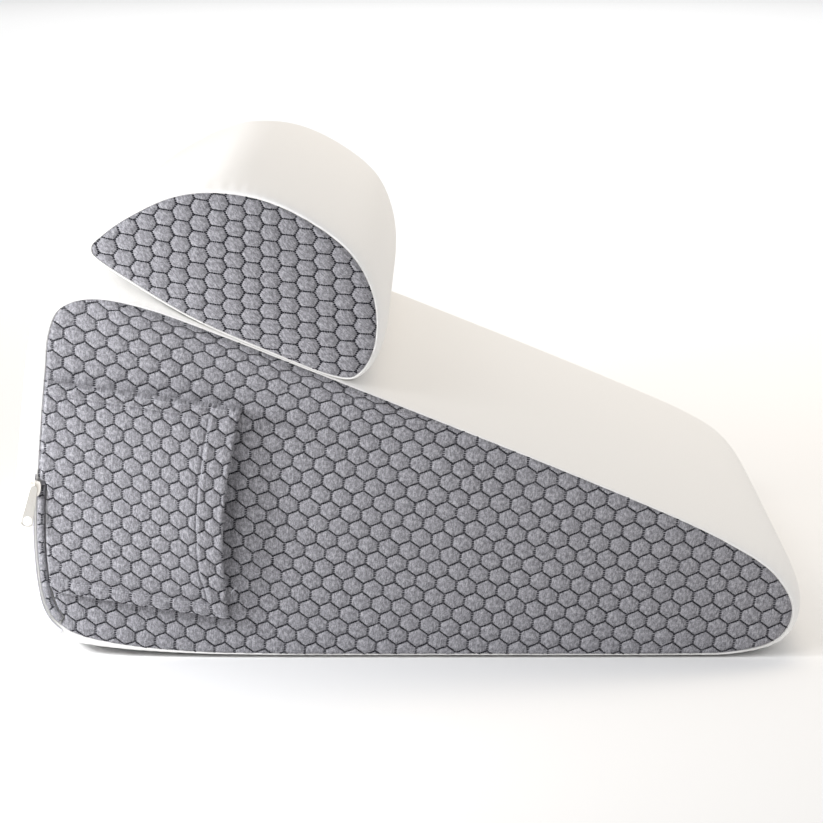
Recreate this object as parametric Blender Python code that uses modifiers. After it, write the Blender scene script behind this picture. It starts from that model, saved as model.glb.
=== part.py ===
"""Wedge pillow with a half-moon headrest bolster and a quilted side pocket.

X runs from the high back end to the low nose, Y across the width, Z up. The
origin lies on the floor, under the middle of the whole. Lengths are in metres.
"""

import math

import bmesh
import bpy
from mathutils import Vector
from mathutils.geometry import convex_hull_2d

MM = 0.001

# Driving sizes of the two cushions
SEAM_WIDTH = 0.576      # between the near and far side seams of both cushions
PLACE = (0.0024, 0.0065, 0)   # moves the whole so that its box is centred
ROLL_POWER = 8          # how late the band rolls down into its side seams
HALF_STATIONS = 4       # sections from the middle of the width to a side seam
STATION_POWER = 2.5     # how much they close up towards the seam
CURVE_STEPS = 3         # outline points for each row of a seam table
END_SHARES = (0.86, 0.45)   # rings of a flat side, from its edge to its centre
CROWN_POWER = 2         # how evenly a flat side bulges

# Driving sizes of the cloth
SHEET = 0.0024          # quilted cloth between its puffs
PUFF = 0.0012           # height of a full honeycomb puff over its stitches
SEAT = 0.0004           # space between one piece and the next
PANEL_SEAT = 0.0005     # the same behind a panel, which bends with its cushion
HEAD_SEAT = 0.0006      # the same under the bolster
RIM = 0.0014            # cloth of the band that turns in at a side seam
PANEL_INSET = RIM + SEAT
RECESS = SHEET + PANEL_SEAT   # depth of a cushion's end behind its side seams
SIDE_CROWN = 0.005      # bulge of the wedge's flat sides
END_CROWN = 0.005       # bulge of the bolster's ends

# Side seam of the wedge, clockwise from its high corner, in millimetres.
# stand: how far the white band bulges out past the seam in mid-width.
WEDGE_SEAM = [
    # x, z, stand
    (-273, 254, 20),
    (-263, 273.5, 15),
    (-238, 280.5, 9),
    (-200, 273.5, 6),
    (-150, 255.5, 5.5),
    (-20, 203.5, 5.5),
    (110, 151, 5.5),
    (204, 111, 6.5),
    (250, 88, 10),
    (280, 67, 12),
    (295, 40, 12),
    (285, 16, 10),
    (252, 4.8, 6),
    (200, 3, 4),
    (40, 3, 4),
    (-120, 3.4, 4),
    (-195, 7, 8),
    (-245, 15, 14),
    (-268, 25.5, 20),
    (-280, 43, 24),
    (-285, 75, 26),
    (-285.5, 115, 25),
    (-281, 175, 24),
    (-276.6, 222, 23),
]

# Side seam of the bolster, clockwise from its thin back edge.
BOLSTER_SEAM = [
    # x, z, stand
    (-239, 318, 4),
    (-235, 325, 3),
    (-213, 341, 2.5),
    (-180, 356.5, 4.5),
    (-148, 361, 10),
    (-110, 355.5, 13),
    (-73, 338.5, 13),
    (-42, 313.5, 12),
    (-25.5, 281, 8),
    (-24.5, 246, 7),
    (-36.5, 223, 6),
    (-56, 220.5, 4),
    (-110, 241.5, 4),
    (-165, 266.5, 4),
    (-215, 297, 4),
    (-235, 311, 5),
]

# Honeycomb quilting as it lies on each panel. The cells stand on a point, or
# on a flat side where the cloth is turned. place is one lattice point, and
# fall and lean tell how the rows sink to the right and the columns lean.
SIDE_QUILT = {
    "pitch": 0.01578, "row": 0.01125, "point": 0.00778, "turned": False,
    "place": (-0.080, 0.110), "phase": (0.0029, 0.0105),
    "fall": (-0.153, 0.066, -0.011), "lean": (0.107, 0.094),
}
POCKET_QUILT = {
    "pitch": 0.01508, "row": 0.01120, "point": 0.00768, "turned": False,
    "place": (-0.215, 0.125), "phase": (0.0045, 0.0062),
    "fall": (-0.186, 0.160, 0.0), "lean": (0.035, -0.147),
}
END_QUILT = {
    "pitch": 0.01183, "row": 0.01390, "point": 0.00872, "turned": True,
    "place": (-0.130, 0.290), "phase": (0.0023, 0.0124),
    "fall": (-0.131, 0.208, 0.0), "lean": (0.036, -0.313),
}
LEAN_REACH = 0.3        # length over which the second lean value builds up
FALL_REACHES = (0.6, 0.27)   # the same for the second and third fall values
CELL_ROWS = 34          # rows and columns tried on each side of the place
SAME_CORNER = 0.0005    # corners of cells this near are one
SAME_CUT = 0.0007       # the same after the cloth is cut to its outline

# Pocket on the near side: its mouth faces the nose
POCKET_OUTLINE = [(-274, 219), (-279, 180), (-281.5, 135), (-281, 95), (-277, 62),
                  (-272, 54), (-138, 33), (-126, 198)]
POCKET_TOP = ((-274, 219), (-126, 198))
POCKET_FOOT = ((-272, 54), (-138, 33))
POCKET_MOUTH = ((-138, 33), (-126, 198))
POCKET_BACK = -0.276    # where the pocket's lift starts
POCKET_GAPE = 0.0095    # how far the middle of the mouth stands off
POCKET_BOW = 0.0083     # how far the middle of the mouth is drawn back
GAPE_POWERS = (1.6, 1.2)    # how late the lift grows towards the mouth, and in its height
BOW_POWER = 4           # how near to the mouth the bow stays
HEM_WIDTH = 0.021       # turned hem at the mouth
FOLD_WIDTH = 0.011      # turned edge along top and foot
HEM_RISE = 0.0008       # second layer of cloth in the hem and the folds
STITCH_NEAR = 0.0006    # points this near a stitch line stay drawn in
POCKET_BACK_PITCH = 0.022   # spacing of points on the pocket's hidden back

# Zip in the seam below the pocket's middle
TAPE_TOP = 0.146        # heights on the seam of the ends of tape and guard
TAPE_FOOT = 0.024
GUARD_TOP = 0.1425
GUARD_FOOT = 0.028
CUT_OVER = 0.002        # how far the guard's groove runs past its ends
ZIP_SECTIONS = 12
GUARD_WIDTH = 0.0064    # rolled fold of quilt that covers the teeth
GUARD_DEPTH = 0.0036
GUARD_OUT = 0.0008      # the guard's outer edge, in from the seam
GUARD_SEAT = 0.0008     # under the guard, whose ends ride on a curve
GUARD_SIDES = 10        # sides of its rounded section
GUARD_CUT = 0.0077      # strip that the guard takes from the panel and the pocket
CUT_OUT = 0.004         # how far that cut reaches past the seam
CUT_DEPTHS = (0.02, 0.04)   # how far it reaches in and out from the plane of the seam
TAPE_INNER = 0.0014     # the tape's edges, measured out from the seam
TAPE_OUTER = 0.0092
TAPE_THICK = 0.0010
TAPE_SEAT = 0.0010      # under the tape, whose band is built of flat facets
TAPE_STRIPS = 3         # flat strips across the tape
SLIDER_SIZE = (0.0094, 0.0040, 0.0125)
SLIDER_SEAT = 0.0020    # the slider's back, out from the plane of the side seam
SLIDER_AT = (-0.2850, 0.1350)
BRIDGE_SIZE = (0.0030, 0.0022, 0.0086)
PULL_LENGTH = 0.0325
PULL_TOP_WIDTH = 0.0062
PULL_FOOT_WIDTH = 0.0096
PULL_THICK = 0.0014
PULL_HOLE = 0.0032      # radius of the hole near the pull's foot
PULL_CORNER = (0.6, 0.5)    # cut corners of the foot: flat half width, height, in half widths
PULL_ARC = 6            # sides of its rounded top
HOLE_SIDES = 12
PULL_LEAN = math.radians(12)    # to the back
PULL_TILT = math.radians(9)     # towards the cloth
METAL_BEVEL = 0.0007

# Colours: red, green, blue, roughness, metallic
FINISHES = {
    "white_knit": (0.86, 0.85, 0.83, 0.85, 0.0),
    "grey_quilt": (0.33, 0.33, 0.36, 0.90, 0.0),
    "zip_tape": (0.84, 0.83, 0.86, 0.80, 0.0),
    "zip_metal": (0.78, 0.73, 0.64, 0.30, 1.0),
}


def clear_scene():
    for item in list(bpy.data.objects):
        bpy.data.objects.remove(item, do_unlink=True)


def new_collection(name):
    collection = bpy.data.collections.new(name)
    bpy.context.scene.collection.children.link(collection)
    return collection


def make_material(name, finish):
    red, green, blue, roughness, metallic = FINISHES[finish]
    material = bpy.data.materials.new(name)
    material.use_nodes = True
    shader = material.node_tree.nodes["Principled BSDF"]
    shader.inputs["Base Color"].default_value = (red, green, blue, 1.0)
    shader.inputs["Roughness"].default_value = roughness
    shader.inputs["Metallic"].default_value = metallic
    return material


def add_object(name, data, collection, finish=None):
    item = bpy.data.objects.new(name, data)
    collection.objects.link(item)
    if finish:
        data.materials.append(make_material(name + "_finish", finish))
    return item


def mesh_from(bm, name):
    """Mesh of a closed body, with its faces turned outwards."""
    bmesh.ops.recalc_face_normals(bm, faces=bm.faces)
    if bm.calc_volume(signed=True) < 0:
        bmesh.ops.reverse_faces(bm, faces=bm.faces)
    mesh = bpy.data.meshes.new(name)
    bm.to_mesh(mesh)
    bm.free()
    return mesh


def line_height(line, x):
    """Height at x of a line given by two points in millimetres."""
    (x0, z0), (x1, z1) = line
    return (z0 + (z1 - z0) * (x / MM - x0) / (x1 - x0)) * MM


def line_across(line, z):
    """Place along X, at height z, of a line given by two points."""
    (x0, z0), (x1, z1) = line
    return (x0 + (x1 - x0) * (z / MM - z0) / (z1 - z0)) * MM


class Outline:
    """Closed curve through the rows of a seam table, with its stand-out."""

    def __init__(self, table):
        rows = [Vector(row) * MM for row in table]
        self.points = []
        self.stands = []
        for index in range(len(rows)):
            near = [rows[(index + step) % len(rows)] for step in (-1, 0, 1, 2)]
            for step in range(CURVE_STEPS):
                x, z, stand = self.blend(near, step / CURVE_STEPS)
                self.points.append(Vector((x, z)))
                self.stands.append(stand)
        self.centre = sum(self.points, Vector((0, 0))) / len(self.points)
        self.normals = [self.normal(index) for index in range(len(self.points))]

    @staticmethod
    def blend(near, share):
        """Catmull-Rom curve between the two middle rows."""
        before, start, end, after = near
        slope_in = (end - before) / 2
        slope_out = (after - start) / 2
        twice, thrice = share * share, share * share * share
        return (start * (2 * thrice - 3 * twice + 1) + slope_in * (thrice - 2 * twice + share)
                + end * (3 * twice - 2 * thrice) + slope_out * (thrice - twice))

    def normal(self, index):
        """Unit vector out of the curve, which runs clockwise."""
        ahead = self.points[(index + 1) % len(self.points)]
        along = (ahead - self.points[index - 1]).normalized()
        return Vector((-along.y, along.x))

    def inset(self, depth):
        return [point - normal * depth for point, normal in zip(self.points, self.normals)]

    def at(self, position):
        """Point, outward normal and stand-out between two of the curve's points."""
        index = int(position)
        after = (index + 1) % len(self.points)
        share = position - index
        point = self.points[index].lerp(self.points[after], share)
        normal = self.normals[index].lerp(self.normals[after], share).normalized()
        return point, normal, self.stands[index] + (self.stands[after] - self.stands[index]) * share

    def back_position(self, height):
        """Position on the curve where its back passes a height."""
        for index in reversed(range(len(self.points) - 1)):
            start, end = self.points[index].y, self.points[index + 1].y
            if start <= height < end:
                return index + (height - start) / (end - start)
        return 0.0

    def share(self, x, z):
        """Distance of a place from the centre, as a share of the curve's own there."""
        ray = Vector((x, z)) - self.centre
        if ray.length < 1e-6:
            return 0.0
        for index, point in enumerate(self.points):
            start = self.points[index - 1] - self.centre
            end = point - self.centre
            side_start, side_end = ray.cross(start), ray.cross(end)
            if side_start >= 0 > side_end and ray.dot(start + end) > 0:
                edge = end - start
                reach = start.cross(edge) / ray.cross(edge)
                return 1.0 / reach if reach > 0 else 0.0
        return 1.0

    def crown(self, x, z, height):
        return height * (1 - min(self.share(x, z), 1.0) ** CROWN_POWER)


WEDGE = Outline(WEDGE_SEAM)
BOLSTER = Outline(BOLSTER_SEAM)


def bulge(share):
    """Part of the band's stand-out reached at a share of the half width."""
    return math.sqrt(max(0.0, 1 - abs(share) ** ROLL_POWER))


def half_stations():
    """Shares of the half width, from its middle to the side seam."""
    return [1 - (1 - step / HALF_STATIONS) ** STATION_POWER for step in range(HALF_STATIONS + 1)]


def stations():
    half = half_stations()
    return [-share for share in reversed(half[1:])] + half


def band_point(outline, index, share):
    return outline.points[index] + outline.normals[index] * outline.stands[index] * bulge(share)


def wedge_top(x, share):
    """Height of the wedge's sloping top at one section of the width."""
    ring = [band_point(WEDGE, index, share) for index in range(len(WEDGE.points))]
    heights = []
    for start, end in zip(ring, ring[1:]):
        if start.x <= x <= end.x:
            heights.append(start.y + (end.y - start.y) * (x - start.x) / (end.x - start.x))
    return max(heights, default=0.0)


def on_floor(x, z, share):
    return max(z, 0.0)


def on_wedge(x, z, share):
    return max(z, wedge_top(x, share) + HEAD_SEAT)


def add_ring(bm, points, depths):
    return [bm.verts.new((point.x, depth, point.y)) for point, depth in zip(points, depths)]


def join_rings(bm, first, second):
    for index in range(len(first)):
        bm.faces.new((first[index - 1], first[index], second[index], second[index - 1]))


def scaled(points, centre, share):
    return [centre + (point - centre) * share for point in points]


def fill_rings(bm, ring, points, centre, shares, depth):
    """Fills the inside of a ring with smaller rings and a fan to its centre."""
    for share in shares:
        places = scaled(points, centre, share)
        smaller = add_ring(bm, places, [depth(place) for place in places])
        join_rings(bm, ring, smaller)
        ring = smaller
    middle = bm.verts.new((centre.x, depth(centre), centre.y))
    for index in range(len(ring)):
        bm.faces.new((ring[index - 1], ring[index], middle))


def close_end(bm, rim, outline, side, crown):
    """Closes a cushion's end behind its panel, following the panel's crown."""
    def depth(point):
        return side * (SEAM_WIDTH / 2 - RECESS + outline.crown(point.x, point.y, crown))

    inner = outline.inset(RIM)
    ring = add_ring(bm, inner, [depth(point) for point in inner])
    join_rings(bm, rim, ring)
    fill_rings(bm, ring, inner, outline.centre, END_SHARES, depth)


def cushion(name, outline, rest, crown, collection):
    """Filled cushion: a band that bulges between its side seams, and crowned ends."""
    bm = bmesh.new()
    rings = []
    for share in stations():
        points = [band_point(outline, index, share) for index in range(len(outline.points))]
        points = [Vector((point.x, rest(point.x, point.y, share))) for point in points]
        rings.append(add_ring(bm, points, [share * SEAM_WIDTH / 2] * len(points)))
    for first, second in zip(rings, rings[1:]):
        join_rings(bm, first, second)
    close_end(bm, rings[0], outline, -1, crown)
    close_end(bm, rings[-1], outline, 1, crown)
    return add_object(name, mesh_from(bm, name), collection, "white_knit")


def quilt_place(quilt, along, across):
    """Place on the panel of a point of the even lattice."""
    level, height = (across, along) if quilt["turned"] else (along, across)
    fall, lean = quilt["fall"], quilt["lean"]
    x = level + (lean[0] + lean[1] * level / LEAN_REACH) * height
    z = height + fall[0] * level + fall[1] * level ** 2 / FALL_REACHES[0]
    z += fall[2] * level ** 3 / FALL_REACHES[1]
    return Vector((quilt["place"][0] + x, quilt["place"][1] + z))


def add_cells(bm, quilt, low, high):
    """Honeycomb faces over the box between low and high."""
    pitch, row, point = quilt["pitch"], quilt["row"], quilt["point"]
    corners = [(0, point), (pitch / 2, row - point), (pitch / 2, point - row),
               (0, -point), (-pitch / 2, point - row), (-pitch / 2, row - point)]
    for down in range(-CELL_ROWS, CELL_ROWS + 1):
        for side in range(-CELL_ROWS, CELL_ROWS + 1):
            along = quilt["phase"][0] + (side + 0.5 * (down % 2)) * pitch
            across = quilt["phase"][1] + down * row
            middle = quilt_place(quilt, along, across)
            if not low.x - pitch < middle.x < high.x + pitch:
                continue
            if not low.y - pitch < middle.y < high.y + pitch:
                continue
            places = [quilt_place(quilt, along + dx, across + dz) for dx, dz in corners]
            bm.faces.new([bm.verts.new((place.x, 0, place.y)) for place in places])
    bmesh.ops.remove_doubles(bm, verts=bm.verts, dist=SAME_CORNER)


def cut_line(bm, start, end, clear):
    """Cuts the flat cells along a line, and removes those on its left if clear."""
    along = end - start
    bmesh.ops.bisect_plane(bm, geom=bm.verts[:] + bm.edges[:] + bm.faces[:], dist=1e-6,
                           plane_co=(start.x, 0, start.y), plane_no=(-along.y, 0, along.x), clear_outer=clear)


def quilted_sheet(quilt, outline, back, centre, stitch_lines=()):
    """Flat quilted cloth: back at y 0, puffed face at minus the sheet's thickness."""
    hull = [outline[index] for index in convex_hull_2d(outline)]
    low = Vector((min(point.x for point in hull), min(point.y for point in hull)))
    high = Vector((max(point.x for point in hull), max(point.y for point in hull)))
    bm = bmesh.new()
    add_cells(bm, quilt, low, high)
    turn = 1 if (hull[1] - hull[0]).cross(hull[2] - hull[1]) < 0 else -1
    for index, point in enumerate(hull):
        start, end = (hull[index - 1], point) if turn > 0 else (point, hull[index - 1])
        cut_line(bm, start, end, True)
    for start, end in stitch_lines:
        cut_line(bm, Vector(start), Vector(end), False)
    bmesh.ops.remove_doubles(bm, verts=bm.verts, dist=SAME_CUT)
    bmesh.ops.translate(bm, vec=(0, -SHEET, 0), verts=bm.verts)
    rim = [edge for edge in bm.edges if edge.is_boundary]
    puff_cells(bm, quilt["pitch"] * quilt["row"])
    close_back(bm, rim, back, centre)
    return bm


def puff_cells(bm, full):
    """Raises the middle of each cell, less in a cell that the outline cuts."""
    for face in bm.faces:
        if face.normal.y > 0:
            face.normal_flip()
    for face in bm.faces[:]:
        rise = PUFF * math.sqrt(min(1.0, face.calc_area() / full))
        bmesh.ops.poke(bm, faces=[face], offset=rise)


def spaced(points, pitch):
    """Points at even steps along a closed line."""
    lengths = [(point - points[index - 1]).length for index, point in enumerate(points)]
    count = round(sum(lengths) / pitch)
    step = sum(lengths) / count
    places, left = [], 0.0
    for index, point in enumerate(points):
        start = points[index - 1]
        while left < lengths[index] and len(places) < count:
            places.append(start.lerp(point, left / lengths[index]))
            left += step
        left -= lengths[index]
    return places


def close_back(bm, rim, points, centre):
    """Gives the flat cells an edge and a coarse back at y 0."""
    edge = bmesh.ops.extrude_edge_only(bm, edges=rim)["geom"]
    for vert in [item for item in edge if isinstance(item, bmesh.types.BMVert)]:
        vert.co.y = 0
    places = scaled(points, centre, END_SHARES[0])
    ring = add_ring(bm, places, [0] * len(places))
    loop = [bm.edges.new((ring[index - 1], ring[index])) for index in range(len(ring))]
    back = [item for item in edge if isinstance(item, bmesh.types.BMEdge) and item.is_boundary]
    bmesh.ops.triangle_fill(bm, edges=back + loop, use_beauty=True, normal=(0, 1, 0))
    fill_rings(bm, ring, points, centre, END_SHARES[1:], lambda place: 0)


def side_panel(name, outline, quilt, crown, side, collection):
    """Quilted panel that lies on a cushion's end, inside the side seam."""
    bm = quilted_sheet(quilt, outline.inset(PANEL_INSET), outline.inset(RIM), outline.centre)
    base = SEAM_WIDTH / 2 - SHEET
    for vert in bm.verts:
        rise = base + outline.crown(vert.co.x, vert.co.z, crown) - vert.co.y
        vert.co.y = side * rise
    return add_object(name, mesh_from(bm, name), collection, "grey_quilt")


def pocket_shares(x, z):
    """Place on the pocket, from its back to its mouth and from foot to top."""
    mouth = line_across(POCKET_MOUTH, z)
    foot, top = line_height(POCKET_FOOT, x), line_height(POCKET_TOP, x)
    across = (x - POCKET_BACK) / (mouth - POCKET_BACK)
    up = (z - foot) / (top - foot)
    return min(max(across, 0.0), 1.0), min(max(up, 0.0), 1.0)


def pocket_lift(x, z):
    across, up = pocket_shares(x, z)
    late, round_ends = GAPE_POWERS
    return POCKET_GAPE * across ** late * math.sin(math.pi * up) ** round_ends


def in_hem(x, z):
    """Whether a place lies in the mouth's hem or in a folded edge."""
    from_mouth = line_across(POCKET_MOUTH, z) - x
    from_top = line_height(POCKET_TOP, x) - z
    from_foot = z - line_height(POCKET_FOOT, x)
    return (from_mouth < HEM_WIDTH - STITCH_NEAR or from_top < FOLD_WIDTH - STITCH_NEAR
            or from_foot < FOLD_WIDTH - STITCH_NEAR)


def side_pocket(collection):
    """Patch of quilt sewn over the near panel, which gapes at its hemmed mouth."""
    outline = [Vector(row) * MM for row in POCKET_OUTLINE]
    hem = [Vector(point) * MM - Vector((HEM_WIDTH, 0)) for point in POCKET_MOUTH]
    top = [Vector(point) * MM - Vector((0, FOLD_WIDTH)) for point in POCKET_TOP]
    foot = [Vector(point) * MM + Vector((0, FOLD_WIDTH)) for point in POCKET_FOOT]
    back = spaced(outline, POCKET_BACK_PITCH)
    centre = sum(back, Vector((0, 0))) / len(back)
    bm = quilted_sheet(POCKET_QUILT, outline, back, centre, (hem, top, foot))
    base = SEAM_WIDTH / 2 + PUFF + SEAT
    for vert in bm.verts:
        x, thick, z = vert.co
        across, up = pocket_shares(x, z)
        rise = base + WEDGE.crown(x, z, SIDE_CROWN) + pocket_lift(x, z) - thick
        if thick < -SHEET / 2 and in_hem(x, z):
            rise += HEM_RISE
        bow = POCKET_BOW * across ** BOW_POWER * math.sin(math.pi * up)
        vert.co = (x - bow, -rise, z)
    return add_object("side_pocket", mesh_from(bm, "side_pocket"), collection, "grey_quilt")


def zip_stretch(foot, top):
    """Positions on the seam between two heights at its back."""
    start, end = WEDGE.back_position(foot), WEDGE.back_position(top)
    return [start + (end - start) * step / ZIP_SECTIONS for step in range(ZIP_SECTIONS + 1)]


def sweep(sections):
    """Closed solid through a row of closed sections."""
    bm = bmesh.new()
    rings = [[bm.verts.new(point) for point in section] for section in sections]
    for first, second in zip(rings, rings[1:]):
        join_rings(bm, first, second)
    bm.faces.new(rings[0])
    bm.faces.new(rings[-1])
    return bm


def section_at(position, corners):
    """Corners of a section, given as distance out from the seam and Y."""
    point, normal, _ = WEDGE.at(position)
    section = []
    for out, y in corners:
        place = point + normal * out
        section.append((place.x, y, place.y))
    return section


def guard_corners(position):
    """Flattened round section of the zip guard, resting on the cushion's end."""
    middle = -(GUARD_OUT + GUARD_WIDTH / 2)
    point, normal, _ = WEDGE.at(position)
    place = point + normal * middle
    base = -(SEAM_WIDTH / 2 - RECESS + GUARD_SEAT + GUARD_DEPTH / 2)
    base -= WEDGE.crown(place.x, place.y, SIDE_CROWN)
    turns = [2 * math.pi * step / GUARD_SIDES for step in range(GUARD_SIDES)]
    return [(middle + GUARD_WIDTH / 2 * math.cos(turn), base + GUARD_DEPTH / 2 * math.sin(turn))
            for turn in turns]


def zip_guard(collection):
    stretch = zip_stretch(GUARD_FOOT, GUARD_TOP)
    sections = [section_at(position, guard_corners(position)) for position in stretch]
    return add_object("zip_guard", mesh_from(sweep(sections), "zip_guard"), collection, "grey_quilt")


def band_depth(position, out):
    """Y of the rolled near edge of the band at a distance out from the seam."""
    stand = WEDGE.at(position)[2]
    shares = half_stations()
    for inner, outer in zip(shares, shares[1:]):
        high, low = stand * bulge(inner), stand * bulge(outer)
        if low <= out <= high:
            share = outer + (inner - outer) * (out - low) / (high - low)
    return -share * SEAM_WIDTH / 2


def tape_corners(position):
    """Thin flat section of the tape on the band's rolled edge."""
    width = TAPE_OUTER - TAPE_INNER
    steps = [TAPE_INNER + width * step / TAPE_STRIPS for step in range(TAPE_STRIPS + 1)]
    lower = [(out, band_depth(position, out) - TAPE_SEAT) for out in steps]
    upper = [(out, depth - TAPE_THICK) for out, depth in reversed(lower)]
    return lower + upper


def zip_tape(collection):
    stretch = zip_stretch(TAPE_FOOT, TAPE_TOP)
    sections = [section_at(position, tape_corners(position)) for position in stretch]
    return add_object("zip_tape", mesh_from(sweep(sections), "zip_tape"), collection, "zip_tape")


def guard_groove(collection):
    """Cutter for the strip that the zip guard takes from the panel and the pocket."""
    deep, shallow = CUT_DEPTHS[0] - SEAM_WIDTH / 2, -CUT_DEPTHS[1] - SEAM_WIDTH / 2
    corners = [(CUT_OUT, deep), (CUT_OUT, shallow), (-GUARD_CUT, shallow), (-GUARD_CUT, deep)]
    stretch = zip_stretch(GUARD_FOOT - CUT_OVER, GUARD_TOP + CUT_OVER)
    sections = [section_at(position, corners) for position in stretch]
    return add_object("guard_groove", mesh_from(sweep(sections), "guard_groove"), collection)


def combine(item, other, operation):
    """Cuts the other object from an item, or joins it to the item."""
    other.hide_render = True
    other.display_type = "WIRE"
    modifier = item.modifiers.new(operation.lower(), "BOOLEAN")
    modifier.operation = operation
    modifier.object = other


def metal_block(name, size, place, collection, finish=None):
    """Small block with rounded edges."""
    bm = bmesh.new()
    bmesh.ops.create_cube(bm, size=1.0)
    bmesh.ops.scale(bm, vec=size, verts=bm.verts)
    item = add_object(name, mesh_from(bm, name), collection, finish)
    item.location = place
    bevel = item.modifiers.new("edges", "BEVEL")
    bevel.width = METAL_BEVEL
    bevel.segments = 2
    return item


def zip_slider(parts, cutters):
    """Slider on the tape's upper end, with a bridge that holds the pull."""
    x, z = SLIDER_AT
    depth = -(SEAM_WIDTH / 2 + SLIDER_SEAT + SLIDER_SIZE[1] / 2)
    slider = metal_block("zip_slider", SLIDER_SIZE, (x, depth, z), parts, "zip_metal")
    bridge_depth = depth - (SLIDER_SIZE[1] + BRIDGE_SIZE[1]) / 2 + METAL_BEVEL
    bridge = metal_block("zip_bridge", BRIDGE_SIZE, (x, bridge_depth, z), cutters)
    combine(slider, bridge, "UNION")


def spline_points(curve, points):
    spline = curve.splines.new("POLY")
    spline.points.add(len(points) - 1)
    for target, (x, z) in zip(spline.points, points):
        target.co = (x, z, 0, 1)
    spline.use_cyclic_u = True


def zip_pull(parts):
    """Flat tapered pull with a hole near its foot, which hangs from the bridge."""
    curve = bpy.data.curves.new("zip_pull", "CURVE")
    curve.dimensions = "2D"
    curve.fill_mode = "BOTH"
    curve.extrude = PULL_THICK / 2
    top, foot = PULL_TOP_WIDTH / 2, PULL_FOOT_WIDTH / 2
    turns = [math.pi * step / PULL_ARC for step in range(PULL_ARC + 1)]
    upper = [(top * math.cos(turn), top * math.sin(turn) - top) for turn in turns]
    flat, corner = foot * PULL_CORNER[0], foot * PULL_CORNER[1] - PULL_LENGTH
    lower = [(-foot, corner), (-flat, -PULL_LENGTH), (flat, -PULL_LENGTH), (foot, corner)]
    spline_points(curve, upper + lower)
    rounds = [2 * math.pi * step / HOLE_SIDES for step in range(HOLE_SIDES)]
    hole = foot - PULL_LENGTH
    spline_points(curve, [(PULL_HOLE * math.cos(turn), PULL_HOLE * math.sin(turn) + hole)
                          for turn in rounds])
    pull = add_object("zip_pull", curve, parts, "zip_metal")
    x, z = SLIDER_AT
    bridge_face = SEAM_WIDTH / 2 + SLIDER_SEAT + SLIDER_SIZE[1] + BRIDGE_SIZE[1] - METAL_BEVEL
    pull.location = (x, -(bridge_face + SEAT + PULL_THICK / 2), z + PULL_TOP_WIDTH / 2)
    pull.rotation_euler = (math.radians(90) - PULL_TILT, PULL_LEAN, 0)


def main():
    clear_scene()
    parts = new_collection("wedge_pillow")
    cutters = new_collection("cutters")
    cushion("wedge_cushion", WEDGE, on_floor, SIDE_CROWN, parts)
    cushion("headrest_cushion", BOLSTER, on_wedge, END_CROWN, parts)
    near = side_panel("side_panel_near", WEDGE, SIDE_QUILT, SIDE_CROWN, -1, parts)
    side_panel("side_panel_far", WEDGE, SIDE_QUILT, SIDE_CROWN, 1, parts)
    side_panel("headrest_panel_near", BOLSTER, END_QUILT, END_CROWN, -1, parts)
    side_panel("headrest_panel_far", BOLSTER, END_QUILT, END_CROWN, 1, parts)
    pocket = side_pocket(parts)
    zip_guard(parts)
    zip_tape(parts)
    zip_slider(parts, cutters)
    zip_pull(parts)
    groove = guard_groove(cutters)
    combine(near, groove, "DIFFERENCE")
    combine(pocket, groove, "DIFFERENCE")
    for item in [*parts.objects, *cutters.objects]:
        item.location += Vector(PLACE)


main()
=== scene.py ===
import math

import bpy
import numpy as np
from mathutils import Matrix, Vector, kdtree
from mathutils.geometry import delaunay_2d_cdt


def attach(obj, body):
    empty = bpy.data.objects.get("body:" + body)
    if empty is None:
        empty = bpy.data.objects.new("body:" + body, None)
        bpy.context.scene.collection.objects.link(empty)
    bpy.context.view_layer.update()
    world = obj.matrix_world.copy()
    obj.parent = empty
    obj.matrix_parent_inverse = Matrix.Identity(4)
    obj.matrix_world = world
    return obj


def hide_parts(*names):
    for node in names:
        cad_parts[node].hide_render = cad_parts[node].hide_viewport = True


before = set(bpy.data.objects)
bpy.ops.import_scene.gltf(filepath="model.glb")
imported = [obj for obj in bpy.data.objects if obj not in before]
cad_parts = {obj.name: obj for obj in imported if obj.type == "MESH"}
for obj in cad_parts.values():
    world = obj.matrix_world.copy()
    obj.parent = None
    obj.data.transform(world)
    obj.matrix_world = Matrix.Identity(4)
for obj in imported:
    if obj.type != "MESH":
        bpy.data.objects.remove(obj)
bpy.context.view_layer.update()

# Wedge pillow with a half-moon headrest bolster, in metres. X runs from the
# high back end to the low nose, Y across the width, Z up.

MM = 0.001

# Camera
CAMERA_PLACE = (0.0284, -2.5864, 0.6082)
CAMERA_PITCH = math.radians(10.1997)  # down
CAMERA_YAW = math.radians(-0.5849)
CAMERA_ROLL = math.radians(-0.1745)
CAMERA_LENS = 134.70
SENSOR = 36.0

# Cushions
SEAM_WIDTH = 0.576
PLACE = (0.0024, 0.0065, 0.0)  # the cushions' shift
ROLL_POWER = 8  # how square a band's bulge is
COARSE_STEPS = 3  # curve points a row, for the middle of an outline
BAND_STEPS = 24  # and for a band
EDGE_STEPS = 40  # and for a panel
HALF_STATIONS = 40  # rings of a band from its middle to a seam
STATION_POWER = 2.2  # how much closer they stand near the seam
CROWN = 0.005  # how far the ends of both cushions rise in their middle
HEAD_SEAT = 0.0004  # from the wedge's top to the bolster
SEAM_LIP = (0.0007, 0.0009)  # a band's lip in from the seam, and its depth
RIM = 0.0014  # the edge of the recess for a panel, in from the seam
RECESS = 0.0029
END_SHARES = (0.92, 0.75, 0.5, 0.2)  # sizes of the rings under a panel
DISH_FROM = 0.9  # rings smaller than this follow the panel's hollow
DISH_GAP = 0.0004

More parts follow.
